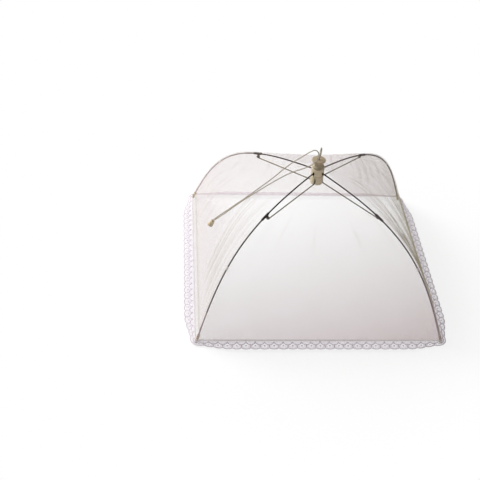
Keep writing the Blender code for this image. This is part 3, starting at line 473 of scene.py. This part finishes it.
def tulle():
    """Polyester tulle: thin threads round six-sided holes. The threads are milky and let some
    light through. Where the net is gathered the holes are drawn smaller, as layers would be.
    Their tone is mixed towards a dark olive by painted shade."""
    made, tree, shader = finish("polyester_tulle", {"Roughness": 0.62, "Specular IOR Level": 0.3,
                                                    "Sheen Weight": 0.2})
    cloth = node(tree, "Attribute", {"attribute_name": "cloth_mm"}).outputs["Vector"]
    parts = node(tree, "SeparateXYZ", links={0: cloth})
    per_pitch = (1 / THREAD_PITCH, 1 / THREAD_PITCH, 0.0)
    flat = node(tree, "VectorMath", {"operation": "MULTIPLY", 1: per_pitch}, {0: cloth}).outputs[0]
    half = (*HEX_HALF, 1.0)
    wrap = {"operation": "WRAP", 1: half, 2: tuple(-h for h in half)}
    near = node(tree, "VectorMath", wrap, {0: flat})
    shifted = node(tree, "VectorMath", {"operation": "SUBTRACT", 1: half}, {0: flat}).outputs[0]
    far = node(tree, "VectorMath", wrap, {0: shifted})
    size_near = node(tree, "VectorMath", {"operation": "LENGTH"}, {0: near.outputs[0]}).outputs["Value"]
    flat_far = node(tree, "VectorMath", {"operation": "MULTIPLY", 1: (1.0, 1.0, 0.0)}, {0: far.outputs[0]})
    size_far = node(tree, "VectorMath", {"operation": "LENGTH"}, {0: flat_far.outputs[0]}).outputs["Value"]
    nearer = node(tree, "Math", {"operation": "LESS_THAN"}, {0: size_far, 1: size_near}).outputs[0]
    cell = node(tree, "Mix", {"data_type": "VECTOR"},
                {0: nearer, 4: near.outputs[0], 5: flat_far.outputs[0]})
    cell = node(tree, "VectorMath", {"operation": "ABSOLUTE"}, {0: cell.outputs[1]}).outputs[0]
    slant = node(tree, "VectorMath", {"operation": "DOT_PRODUCT", 1: (*HEX_HALF, 0.0)}, {0: cell})
    level = node(tree, "SeparateXYZ", links={0: cell}).outputs[0]
    edge = node(tree, "Math", {"operation": "MAXIMUM"}, {0: slant.outputs["Value"], 1: level}).outputs[0]
    start = node(tree, "Math", {"operation": "SUBTRACT", 1: THREAD_EDGE}, {0: parts.outputs[2]})
    stop = node(tree, "Math", {"operation": "ADD", 1: THREAD_EDGE}, {0: parts.outputs[2]})
    thread = node(tree, "MapRange", {"interpolation_type": "SMOOTHSTEP"},
                  {"Value": edge, "From Min": start.outputs[0], "From Max": stop.outputs[0]}).outputs[0]
    cloud = node(tree, "TexNoise", {"Scale": TONE_CLOUDS, "Detail": 2.0},
                 {"Vector": cloth}).outputs["Fac"]
    thin = node(tree, "ValToRGB", {"stops": [(0.3, "#c0abab"), (0.7, "#c6b3b8")]},
                {"Fac": cloud}).outputs["Color"]
    # The dark olive tone is painted shade, mixed in where the net lies in shade or is creased
    shade_tone = node(tree, "ValToRGB", {"stops": [(0.3, "#91866b"), (0.7, "#a59a80")]},
                 {"Fac": cloud}).outputs["Color"]
    olive = node(tree, "Attribute", {"attribute_name": "olive"}).outputs["Fac"]
    tone = node(tree, "Mix", {"data_type": "RGBA"}, {0: olive, 6: thin, 7: shade_tone}).outputs[2]
    bump = node(tree, "Bump", {"Strength": 0.5, "Distance": 0.0001}, {"Height": thread})
    feed(tree, shader, {"Base Color": tone, "Normal": bump.outputs["Normal"]})
    through = node(tree, "BsdfTranslucent", links={"Color": tone}).outputs[0]
    solid = node(tree, "MixShader", {0: 0.35}, {1: shader.outputs[0], 2: through}).outputs[0]
    clear = node(tree, "BsdfTransparent").outputs[0]
    whole = node(tree, "MixShader", links={0: thread, 1: clear, 2: solid}).outputs[0]
    feed(tree, tree.nodes["Material Output"], {"Surface": whole})
    return made


net_cloth = tulle()


def follow_rib(piece, corner, share):
    """Bends a piece between the hub and a rib: share is 0 at mid side and 1 at the seam.

    Its straight weights are then replaced by the cloth's own, because a side narrows towards
    the hub and its creases run to it.
    """
    turn = math.radians(CORNERS[corner])
    end = (math.cos(turn), math.sin(turn), 0.0)
    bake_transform(piece, "hub", "rib_" + corner, (0.0, 0.0, 0.0), end)
    weights = piece.data.attributes["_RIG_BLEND"].data
    weights.foreach_set("value", smooth_step(share).astype(np.float32).ravel())
    return piece


def quarter_net(corner):
    """The net round one corner, from mid side over the seam to the next mid side."""
    first, second = SIDES_AT[corner]
    half = NET_COLUMNS // 2
    toward = np.linspace(0.0, 1.0, half + 1)
    left_points, left_cloth, left_painted_shade = side_skin(first, toward)
    right_points, right_cloth, right_painted_shade = side_skin(second, toward - 1)
    left_cloth[..., 0] -= 1000 * (seam_out / math.sqrt(2))[:, None]
    right_cloth[..., 0] += 1000 * (seam_out / math.sqrt(2))[:, None]
    points = np.concatenate([left_points, right_points[:, 1:]], axis=1)
    cloth = np.concatenate([left_cloth, right_cloth[:, 1:]], axis=1)
    olive = np.concatenate([left_painted_shade, right_painted_shade[:, 1:]], axis=1)
    made = grid_piece("net_at_" + corner, points[::-1], net_cloth)
    write_row(made, "cloth_mm", *np.moveaxis(cloth[::-1], -1, 0))
    # Painted shade: how far the net's tone is darkened towards olive
    shade = made.data.attributes.new("olive", "FLOAT", "POINT")
    shade.data.foreach_set("value", olive[::-1].astype(np.float32).ravel())
    share = np.concatenate([toward, 1 - toward[1:]])[None]
    free = smooth_step((seam_out - CLAMPED_REACH) / (FREE_REACH - CLAMPED_REACH))[:, None]
    corners = points[:-1, :-1], points[1:, :-1], points[1:, 1:], points[:-1, 1:]
    area = np.linalg.norm(np.cross(corners[2] - corners[0], corners[3] - corners[1]), axis=-1).sum() / 2
    follow_rib(made, corner, (share * free)[::-1])
    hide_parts("net_" + first, "net_" + second)
    return made, float(area)


# The hem. The net's edge is rolled over a soft cord and stitched, and a lace edging hangs from
# it. The hem is taut between the corners, and paler than the net because its layers lie close.
HEM_RADIUS = 0.0010
HEM_RISE = 0.0008           # the roll is taller than it is thick, and laps the net's edge
HEM_STEP = 0.0012
HEM_STITCH = 0.0035         # from stitch to stitch
HEM_SWELL = 0.1             # of the radius, between its stitches
HEM_WAVE = 0.32             # scale of a slanted wave that repeats every 2.0 mm
HEM_SIDES = 10
HEM_CORNER_BEND = 0.0040
HEM_VEIL = {"front": 0.62, "right": 0.55, "back": 0.16, "left": 0.45}   # light that it stops; more on the front is painted shade, less at the back painted light
HEM_VEIL_RUN = 0.0300       # from one side's value to the next, on each side of a corner


def corner_path(first, second, depth, height, corner_bend, step):
    """Level line from mid side round a corner to the next mid side, at a depth from the middle.

    Returns its points, its outward directions and its share of the way to the seam.
    """
    straight = depth - corner_bend
    bend = corner_bend * math.pi / 2
    far = np.arange(0.0, 2 * straight + bend, step)
    far = far * (2 * straight + bend) / far[-1]
    turn = np.clip((far - straight) / corner_bend, 0.0, math.pi / 2)
    x = np.minimum(far, straight) + corner_bend * np.sin(turn)
    y = -depth + corner_bend * (1 - np.cos(turn)) + np.maximum(far - straight - bend, 0.0)
    spin = math.radians(SIDES[first])
    points = np.stack([x * math.cos(spin) - y * math.sin(spin),
                       x * math.sin(spin) + y * math.cos(spin), np.full_like(x, height)], axis=1)
    facing = turn - math.pi / 2 + spin
    outward = np.stack([np.cos(facing), np.sin(facing), np.zeros_like(x)], axis=1)
    share = 1 - np.abs(far - far[-1] / 2) / (far[-1] / 2)
    return points, outward, share, far


def rolled_hem():
    """A rolled tulle hem: milky with its several layers, and small slanting stitches on it."""
    made, tree, shader = finish("rolled_tulle_hem", {"Roughness": 0.8, "Sheen Weight": 0.3})
    place = node(tree, "Attribute", {"attribute_name": "hem_mm"}).outputs["Vector"]
    stitches = node(tree, "TexWave", {"Scale": HEM_WAVE, "Distortion": 0.6, "bands_direction": "DIAGONAL"},
                    {"Vector": place}).outputs["Fac"]
    tone = node(tree, "ValToRGB", {"stops": [(0.1, "#cec4c2"), (0.8, "#e4dbd9")]},
                {"Fac": stitches}).outputs["Color"]
    veil = node(tree, "SeparateXYZ", links={0: place}).outputs[2]
    bump = node(tree, "Bump", {"Strength": 0.5, "Distance": 0.0002}, {"Height": stitches})
    feed(tree, shader, {"Base Color": tone, "Alpha": veil, "Normal": bump.outputs["Normal"]})
    return made


hem_cloth = rolled_hem()
hem_depth = -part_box("hem_front")[0][1] - HEM_RADIUS
hem_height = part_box("hem_front")[0][2] + HEM_RADIUS


def quarter_hem(corner):
    """The hem round one corner: an oval tube that swells a little between its stitches."""
    first, second = SIDES_AT[corner]
    path, outward, share, far = corner_path(
        first, second, hem_depth, hem_height, HEM_CORNER_BEND, HEM_STEP)
    turn = np.linspace(0.0, 2 * math.pi, HEM_SIDES, endpoint=False)
    swell = 1 - HEM_SWELL + HEM_SWELL * np.sin(far / HEM_STITCH * 2 * math.pi)
    radius = HEM_RADIUS * swell[:, None]
    section = np.stack([radius * np.cos(turn), radius * np.sin(turn)
                        + HEM_RISE * (1 + np.sin(turn)) / 2], axis=-1)
    made = grid_piece("hem_at_" + corner, carried(path, section, (0.0, 0.0, 1.0)), hem_cloth,
                      closed=True, capped=True)
    past = far - far[-1] / 2
    veil = np.interp(past, [-HEM_VEIL_RUN, HEM_VEIL_RUN], [HEM_VEIL[first], HEM_VEIL[second]])
    write_row(made, "hem_mm", far[:, None] * 1000, turn[None], veil[:, None])
    follow_rib(made, corner, np.repeat(share, HEM_SIDES))
    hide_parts("hem_" + first, "hem_" + second)
    return made


# The lace. A machine-made edging 14 mm wide, sewn under the hem: half-round swags hang from
# the hem, below them a row of round eyelets each with a solid dot, and a scalloped edge.
LACE_WIDTH = 0.0140
# How steeply the edging hangs on each side, and at every corner
LACE_SLOPE = {"front": math.radians(8), "right": math.radians(16), "back": math.radians(18),
              "left": math.radians(11)}
LACE_CORNER_SLOPE = math.radians(34)
LACE_REPEATS = 27
LACE_TUCK = 0.0550          # length over which the edging narrows towards a corner
LACE_CORNER_SHARE = 0.42    # its width left at the corner
LACE_STEP = 0.0006
LACE_ROWS = 18
SWAG_SHARE = 0.46
CUSP_SHARE = 0.78
DOT_SHARE = 0.58
DOT_RADIUS = 0.0013
DOT_SIDES = 10
DOT_RIM_SHARE = 0.3         # of the dome's height, at its rim
DOT_CLEAR = 0.0040          # from the corner, where no dot is worked
EYELET_RADIUS = 0.0034
GIMP_WIDTH = 0.0013         # the thick outlining thread
GIMP_HEIGHT = 0.0006
GIMP_SIDES = 6
GIMP_PLIES = 900.0          # in a metre, drawn coarser than real so that they show
GROUND_HOLES = 1.15         # in a millimetre
GROUND_HOLE = (0.28, 0.38)  # of the pitch, from open ground to thread
EYELET_EDGE = (-0.4, 0.3)   # mm inside and outside its radius, over which it thins
EYELET_GROUND = 0.45        # of the ground's threads, left in an eyelet
BAR_HALF_WIDTH = 0.0009
BAR_HALF_LENGTH = 0.0021
LACE_CORNER_BEND = 0.0060


def lace_looks():
    """Two finishes of one lace. Its ground is a fine mesh, and its gimp thread is solid cotton."""
    ground, tree, shader = finish("lace_ground", {"Roughness": 0.8, "Sheen Weight": 0.2})
    place = node(tree, "Attribute", {"attribute_name": "lace_mm"}).outputs["Vector"]
    from_dot = node(tree, "SeparateXYZ", links={0: place}).outputs[2]
    inner, outer = (EYELET_RADIUS * 1000 + edge for edge in EYELET_EDGE)
    eyelet = node(tree, "MapRange", {"From Min": inner, "From Max": outer, "To Min": EYELET_GROUND,
                                     "To Max": 1.0}, {"Value": from_dot}).outputs[0]
    flat = node(tree, "VectorMath", {"operation": "MULTIPLY", 1: (1.0, 1.0, 0.0)}, {0: place}).outputs[0]
    spots = node(tree, "TexVoronoi", {"Scale": GROUND_HOLES, "Randomness": 0.25},
                 {"Vector": flat}).outputs["Distance"]
    mask = node(tree, "MapRange", {"From Min": GROUND_HOLE[0], "From Max": GROUND_HOLE[1]},
                {"Value": spots}).outputs[0]
    mask = node(tree, "Math", {"operation": "MULTIPLY"}, {0: mask, 1: eyelet}).outputs[0]
    shader.inputs["Base Color"].default_value = linear("#e6dfe7")
    through = node(tree, "BsdfTranslucent", {"Color": linear("#e6dfe7")}).outputs[0]
    solid = node(tree, "MixShader", {0: 0.3}, {1: shader.outputs[0], 2: through}).outputs[0]
    clear = node(tree, "BsdfTransparent").outputs[0]
    whole = node(tree, "MixShader", links={0: mask, 1: clear, 2: solid}).outputs[0]
    feed(tree, tree.nodes["Material Output"], {"Surface": whole})
    gimp, tree, shader = finish("lace_gimp_thread", {"Roughness": 0.85, "Sheen Weight": 0.3})
    place = node(tree, "TexCoord").outputs["Object"]
    twist = node(tree, "TexNoise", {"Scale": GIMP_PLIES, "Detail": 2.0},
                 {"Vector": place}).outputs["Fac"]
    tone = node(tree, "ValToRGB", {"stops": [(0.3, "#bdb2b9"), (0.7, "#d1c7ce")]}, {"Fac": twist})
    bump = node(tree, "Bump", {"Strength": 0.4, "Distance": 0.0002}, {"Height": twist})
    feed(tree, shader, {"Base Color": tone.outputs["Color"], "Normal": bump.outputs["Normal"]})
    return ground, gimp


lace_ground, lace_gimp = lace_looks()
lace_depth = hem_depth + HEM_RADIUS * math.cos(LACE_SLOPE["back"])
lace_top = hem_height - HEM_RADIUS * math.sin(LACE_SLOPE["back"])
repeat = 2 * lace_depth / LACE_REPEATS


def swag_line(far):
    """How far down the swags hang, as a share of the width: half rounds between the eyelets."""
    off = np.abs((far / repeat + 0.5) % 1 - 0.5) * 2
    return SWAG_SHARE * np.sqrt(np.clip(1 - (1 - off) ** 2, 0.0, 1.0))


def scallop_line(far):
    """How far down the edge reaches, as a share of the width: round lobes below the eyelets."""
    off = np.abs((far / repeat + 0.5) % 1 - 0.5) * 2
    return CUSP_SHARE + (1 - CUSP_SHARE) * np.sqrt(np.clip(1 - off**2, 0.0, 1.0))


def lace_place(points, outward, past, fall, slopes):
    """Puts shares of the lace's width on its slope: out and down from the hem's line.

    past is the distance past the corner, below nothing on the first of the two sides.
    """
    tuck = smooth_step(np.abs(past) / LACE_TUCK)
    width = LACE_WIDTH * (LACE_CORNER_SHARE + (1 - LACE_CORNER_SHARE) * tuck)
    slope = LACE_CORNER_SLOPE + (np.where(past < 0, *slopes) - LACE_CORNER_SLOPE) * tuck
    run = (fall * width)[..., None]
    down = np.array([0.0, 0.0, -1.0])
    return points + run * (np.cos(slope)[..., None] * outward + np.sin(slope)[..., None] * down)


def quarter_lace(corner):
    """The edging round one corner: a mesh ground, and gimp threads carried along its lines."""
    first, second = SIDES_AT[corner]
    path, outward, share, far = corner_path(
        first, second, lace_depth, lace_top, LACE_CORNER_BEND, LACE_STEP)
    past = far - far[-1] / 2
    along = far[-1] / 2 - np.abs(past)
    slopes = LACE_SLOPE[first], LACE_SLOPE[second]
    fall = np.linspace(0.0, 1.0, LACE_ROWS)[None] * scallop_line(along)[:, None]
    points = lace_place(path[:, None], outward[:, None], past[:, None], fall, slopes)
    ground = grid_piece("lace_ground_at_" + corner, points, lace_ground)
    aside = (np.abs((along / repeat + 0.5) % 1 - 0.5) * repeat)[:, None]
    from_dot = np.hypot(aside, (fall - DOT_SHARE) * LACE_WIDTH)
    write_row(ground, "lace_mm", far[:, None] * 1000, fall * LACE_WIDTH * 1000, from_dot * 1000)
    follow_rib(ground, corner, np.repeat(share, LACE_ROWS))
    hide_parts("lace_" + first, "lace_" + second)
    turn = np.linspace(0.0, 2 * math.pi, GIMP_SIDES, endpoint=False)
    section = np.stack([GIMP_WIDTH / 2 * np.cos(turn), GIMP_HEIGHT / 2 * np.sin(turn)], axis=-1)
    made = [ground]
    for name, line in (("swags", swag_line(along)), ("scallops", scallop_line(along))):
        thread = lace_place(path, outward, past, line, slopes)
        points = carried(thread, section, (0.0, 0.0, 1.0))
        piece = grid_piece("lace_" + name + "_at_" + corner, points, lace_gimp, closed=True, capped=True)
        follow_rib(piece, corner, np.repeat(share, GIMP_SIDES))
        made.append(piece)
    made.append(lace_dots(corner, path, outward, share, far, slopes))
    return made


def lace_dots(corner, path, outward, share, far, slopes):
    """The solid dots in the eyelets and the bars at the cusps, each a small flat dome.

    A dome is a ring above its middle plane and one below, each closed by a point at the middle.
    """
    whole = int(far[-1] / 2 / repeat)
    steps = np.concatenate([np.arange(whole + 1), np.arange(whole) + 0.5])
    kinds = np.concatenate([np.zeros(whole + 1, int), np.ones(whole, int)])
    keep = steps * repeat < far[-1] / 2 - DOT_CLEAR
    spot = np.concatenate([steps[keep] * repeat, far[-1] - steps[keep] * repeat])
    kind = np.concatenate([kinds[keep], kinds[keep]])
    fall = np.array([DOT_SHARE, (SWAG_SHARE + CUSP_SHARE) / 2])[kind]
    wide = np.array([DOT_RADIUS, BAR_HALF_WIDTH])[kind]
    tall = np.array([DOT_RADIUS, BAR_HALF_LENGTH])[kind]
    ring = np.linspace(0.0, 2 * math.pi, DOT_SIDES, endpoint=False)
    inside = np.clip(spot[:, None] + wide[:, None] * np.cos(ring), 0.0, far[-1])
    at = np.stack([np.interp(inside, far, path[:, k]) for k in range(3)], axis=-1)
    out = np.stack([np.interp(inside, far, outward[:, k]) for k in range(3)], axis=-1)
    drop = fall[:, None] + tall[:, None] * np.sin(ring) / LACE_WIDTH
    rim = lace_place(at, out, inside - far[-1] / 2, drop, slopes)
    middle = rim.mean(axis=1, keepdims=True)
    lift = np.array([0.0, 0.0, GIMP_HEIGHT / 2])
    points = np.concatenate([rim + lift * DOT_RIM_SHARE, middle + lift,
                             rim - lift * DOT_RIM_SHARE, middle - lift], axis=1)
    i = np.arange(DOT_SIDES)
    j = np.roll(i, -1)
    under = DOT_SIDES + 1
    fans = np.concatenate([np.stack([i, j, np.full_like(i, DOT_SIDES)], axis=1),
                           np.stack([j + under, i + under, np.full_like(i, DOT_SIDES + under)], axis=1)])
    walls = np.stack([i + under, j + under, j, i], axis=1)
    base = (np.arange(len(spot)) * 2 * under)[:, None, None]
    faces = (fans + base).reshape(-1, 3).tolist() + (walls + base).reshape(-1, 4).tolist()
    made = mesh_piece("lace_dots_at_" + corner, points, faces, lace_gimp)
    follow_rib(made, corner, np.repeat(np.interp(spot, far, share), 2 * under))
    return made


for corner in CORNERS:
    net, area = quarter_net(corner)
    hem = quarter_hem(corner)
    lace = quarter_lace(corner)


# The moulded hub, tips and bell, all one nylon with a spark-eroded grain. The cap gets a darker
# copy of it as painted shade, and the crown, the runner, the tips and the bell a paler copy as painted
# light.
NYLON_PATCHES = 160.0       # of its mottle, in a metre
NYLON_GRAIN = 2400.0        # in a metre, drawn coarser than real so that it shows


def moulded_nylon(name, low, high):
    """Injection-moulded nylon: smooth, faintly mottled, with a soft broad shine."""
    made, tree, shader = finish(name, {"Roughness": 0.50, "IOR": 1.50,
                                       "Subsurface Weight": 0.12, "Subsurface Scale": 0.002})
    place = node(tree, "TexCoord").outputs["Object"]
    mottle = node(tree, "TexNoise", {"Scale": NYLON_PATCHES, "Detail": 3.0},
                  {"Vector": place}).outputs["Fac"]
    tone = node(tree, "ValToRGB", {"stops": [(0.3, low), (0.7, high)]}, {"Fac": mottle})
    grain = node(tree, "TexNoise", {"Scale": NYLON_GRAIN, "Detail": 2.0},
                 {"Vector": place}).outputs["Fac"]
    bump = node(tree, "Bump", {"Strength": 0.15, "Distance": 0.0001}, {"Height": grain})
    feed(tree, shader, {"Base Color": tone.outputs["Color"], "Normal": bump.outputs["Normal"]})
    return made


# One nylon twice: the cap's darker copy is painted shade, the paler copy painted light
nylon = moulded_nylon("moulded_nylon", "#94846b", "#a9997f")
nylon_painted_light = moulded_nylon("moulded_nylon_painted_light", "#bbad90", "#cdbfa2")


def give(look, *starts):
    """Gives a finish to every node whose name starts with one of these words."""
    for name, part in frame["nodes"].items():
        if name.startswith(starts):
            part.data.materials.clear()
            part.data.materials.append(look)


give(nylon, "spool_cap")
give(nylon_painted_light, "rib_crown", "runner", "rib_tip", "pull_bell")


# The knots. The cord is knotted in the bell and under the runner, and runs doubled inside the
# hub. These are the same braided cotton, pulled tight.
give(cotton, "bell_knot", "runner_knot", "inner_cord")


# The thread ties. Bleached sewing thread is wound seven times round each rib, through the net,
# just below the shoulder, and its two cut ends stand off. It shines out white on the dark wire.
TIE_ARC = 0.2000            # from the rib's pivot
TIE_THREAD = 0.0007
TIE_RADIUS = 0.00145        # of the winding's middle line
TIE_TURNS = 7
TIE_PITCH = 0.00078
TIE_END = 0.0026            # how far each cut end stands off sideways
TIE_END_POINTS = 6
TIE_FALL = (0.6, 0.8)       # how far the first and the last end bend down, of that
TIE_WAVE = 320.0            # scale of a wave that repeats at every ply, each millimetre
TIE_TURN_POINTS = 16
TIE_SIDES = 6


def bleached_thread():
    """Twisted sewing thread, bleached white, with the slant of its plies."""
    made, tree, shader = finish("bleached_sewing_thread", {"Roughness": 0.7, "Sheen Weight": 0.2})
    place = node(tree, "TexCoord").outputs["Object"]
    plies = node(tree, "TexWave", {"Scale": TIE_WAVE, "Distortion": 1.0}, {"Vector": place}).outputs["Fac"]
    tone = node(tree, "ValToRGB", {"stops": [(0.1, "#dedad4"), (0.7, "#f6f4f0")]}, {"Fac": plies})
    feed(tree, shader, {"Base Color": tone.outputs["Color"]})
    return made


thread = bleached_thread()


def thread_tie(corner):
    """One thread: a cut end, a helix round the rib that starts and stops under it, a cut end.

    At angle q of the winding it lies r (sin q across the rib, -cos q above it), and p q / 2 pi
    along it. The ends leave sideways and bend down, away from the net.
    """
    arc, reach, height, slope = rib_line()
    out, up, fall = (float(np.interp(TIE_ARC, arc, line)) for line in (reach, height, slope))
    turn = math.radians(CORNERS[corner])
    away = np.array([math.cos(turn), math.sin(turn), 0.0])
    across = np.array([-math.sin(turn), math.cos(turn), 0.0])
    sky = np.array([0.0, 0.0, 1.0])
    along = math.cos(fall) * away - math.sin(fall) * sky
    above = math.sin(fall) * away + math.cos(fall) * sky
    q = np.linspace(0.0, 2 * math.pi * TIE_TURNS, TIE_TURNS * TIE_TURN_POINTS + 1)[:, None]
    coil = (out * away + up * sky + TIE_RADIUS * (np.sin(q) * across - np.cos(q) * above)
            + TIE_PITCH * (q / (2 * math.pi) - TIE_TURNS / 2) * along)
    t = np.linspace(0.0, 1.0, TIE_END_POINTS + 1)[1:, None]
    begin = TIE_END * (-t * across - TIE_FALL[0] * t**2 * above)
    end = TIE_END * (t * across - TIE_FALL[1] * t**2 * above)
    line = np.concatenate([(coil[0] + begin)[::-1], coil, coil[-1] + end])
    ring = np.linspace(0.0, 2 * math.pi, TIE_SIDES, endpoint=False)
    section = TIE_THREAD / 2 * np.stack([np.cos(ring), np.sin(ring)], axis=-1)
    made = grid_piece("thread_tie_on_" + corner, carried(line, section, along), thread,
                      closed=True, capped=True)
    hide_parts("thread_tie_" + corner)
    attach(made, "rib_" + corner)


for corner in CORNERS:
    thread_tie(corner)


# The ribs and stretchers. The ribs are 2 mm spring wire, tempered dark brown, and drawn pale
# grey in streaks and low on some legs; the stretchers and the hub's rings are drawn bright wire.
# The height on each rib below which the wire is drawn pale grey
PALE_BELOW = {"front_right": -0.1, "back_right": 0.030, "back_left": 0.150, "front_left": 0.052}
PALE_EDGE = (-0.012, 0.004)           # from that height, over which the wire turns pale grey
PALE_MORE = 0.42
SKIN_STREAKS = 26.0         # in a metre
WIRE_PATCHES = 60.0         # in a metre, dull and bright
CLIP_PATCHES = 220.0        # in a metre


def spring_wire(place_name, pale_below):
    """Oil-tempered spring steel: a dark oxide skin with a few pale grey streaks along the wire.

    Below a height on its leg the wire is drawn pale grey.
    """
    made, tree, shader = finish("tempered_spring_wire_" + place_name,
                                {"Metallic": 0.3, "Specular IOR Level": 0.12,
                                 "Specular Tint": linear("#c39a68")})
    place = node(tree, "TexCoord").outputs["Object"]
    height = node(tree, "SeparateXYZ", links={0: place}).outputs[2]
    low, high = (pale_below + edge for edge in PALE_EDGE)
    pale_leg = node(tree, "MapRange", {"From Min": low, "From Max": high, "To Min": PALE_MORE,
                                   "To Max": 0.0}, {"Value": height}).outputs[0]
    patches = node(tree, "TexNoise", {"Scale": SKIN_STREAKS, "Detail": 4.0, "Roughness": 0.7},
                   {"Vector": place}).outputs["Fac"]
    patches = node(tree, "Math", {"operation": "ADD"}, {0: patches, 1: pale_leg}).outputs[0]
    tone = node(tree, "ValToRGB", {"stops": [(0.54, "#1a1006"), (0.92, "#a39b99"), (0.74, "#46341c")]},
                {"Fac": patches}).outputs["Color"]
    rough = node(tree, "MapRange", {"From Min": 0.4, "From Max": 0.8, "To Min": 0.45, "To Max": 0.28},
                 {"Value": patches}).outputs[0]
    feed(tree, shader, {"Base Color": tone, "Roughness": rough})
    return made


def patchy_steel(name, values, patches, stops):
    """Plain steel with duller and brighter patches of drawing grease or oil."""
    made, tree, shader = finish(name, values)
    place = node(tree, "TexCoord").outputs["Object"]
    dull = node(tree, "TexNoise", {"Scale": patches, "Detail": 3.0}, {"Vector": place}).outputs["Fac"]
    tone = node(tree, "ValToRGB", {"stops": stops}, {"Fac": dull})
    feed(tree, shader, {"Base Color": tone.outputs["Color"]})
    return made


# Drawn mild steel shines softly and slightly yellow, and pressed strip is dark with oil
bright_wire = patchy_steel("drawn_bright_wire", {"Metallic": 0.9, "Roughness": 0.34},
                           WIRE_PATCHES, [(0.35, "#544a30"), (0.7, "#787052")])
pressed_clip = patchy_steel("pressed_steel_clip", {"Metallic": 0.85, "Roughness": 0.4},
                            CLIP_PATCHES, [(0.35, "#1d1a17"), (0.75, "#3f3931")])
for corner, pale_below in PALE_BELOW.items():
    give(spring_wire(corner, pale_below), "rib_wire_" + corner)
give(bright_wire, "stretcher", "rib_ring", "runner_ring")
give(pressed_clip, "rib_clip", "clip_rivet", "eye_rivet")


# The setting. A sheet of white paper, a large soft lamp from the upper left, a weak one from
# the right, and an even pale sky.
PAPER_HALF = 3.0
PAPER_DROP = 0.0003         # below the tips
PAPER_LIFT = 0.75           # of the way to white, under and near the cover
PAPER_LIFT_RUN = (0.20, 0.40)           # from the middle, over which that rises to white
SKY_LEVEL = 0.42            # of white, as the light on the cover; the lens sees it white
LAMPS_AIM = (0.0, 0.0, 0.08)


def white_paper():
    """Matt white paper. What the lens, metal and gloss see of it is lifted most of the way to white,
    and all the way further off, where no shadow of the cover falls."""
    made, tree, shader = finish("white_paper", {"Roughness": 0.95, "Specular IOR Level": 0.1})
    shader.inputs["Base Color"].default_value = linear("#f4f4f4")
    ways = node(tree, "LightPath")
    seen = node(tree, "Math", {"operation": "ADD"},
                {0: ways.outputs["Is Camera Ray"], 1: ways.outputs["Is Glossy Ray"]}).outputs[0]
    seen = node(tree, "Math", {"operation": "ADD", "use_clamp": True},
                {0: seen, 1: ways.outputs["Is Transmission Ray"]}).outputs[0]
    place = node(tree, "TexCoord").outputs["Object"]
    reach = node(tree, "VectorMath", {"operation": "LENGTH"}, {0: place}).outputs["Value"]
    near, far = PAPER_LIFT_RUN
    lift = node(tree, "MapRange", {"interpolation_type": "SMOOTHSTEP", "From Min": near, "From Max": far,
                                   "To Min": PAPER_LIFT, "To Max": 1.0}, {"Value": reach}).outputs[0]
    share = node(tree, "Math", {"operation": "MULTIPLY"}, {0: seen, 1: lift}).outputs[0]
    light = node(tree, "Emission", {"Color": (1.0, 1.0, 1.0, 1.0), "Strength": 1.0}).outputs[0]
    whole = node(tree, "MixShader", links={0: share, 1: shader.outputs[0], 2: light}).outputs[0]
    feed(tree, tree.nodes["Material Output"], {"Surface": whole})
    return made


paper_points = np.array([[(-1, -1, 0), (1, -1, 0)], [(-1, 1, 0), (1, 1, 0)]], float) * PAPER_HALF
paper_points[..., 2] = -PAPER_DROP
paper = grid_piece("paper", paper_points, white_paper())


def lamp(name, at, size, watts):
    """A square soft lamp that faces the middle of the cover."""
    light = bpy.data.lights.new(name, "AREA")
    light.size = size
    light.energy = watts
    made = bpy.data.objects.new(name, light)
    aim = Vector(LAMPS_AIM) - Vector(at)
    made.matrix_world = Matrix.Translation(at) @ aim.to_track_quat("-Z", "Y").to_matrix().to_4x4()
    bpy.context.scene.collection.objects.link(made)


lamp("left_lamp", (-1.3, 1.0, 1.2), 1.0, 52.0)
lamp("front_lamp", (0.5, -1.5, 0.8), 1.0, 2.0)
sky = bpy.data.worlds.new("pale_sky")
bpy.context.scene.world = sky
sky.use_nodes = True
ways = node(sky.node_tree, "LightPath")
level = node(sky.node_tree, "MapRange", {"To Min": SKY_LEVEL, "To Max": 1.0},
             {"Value": ways.outputs["Is Camera Ray"]}).outputs[0]
ground = sky.node_tree.nodes["Background"]
ground.inputs["Color"].default_value = (1.0, 1.0, 1.0, 1.0)
feed(sky.node_tree, ground, {"Strength": level})
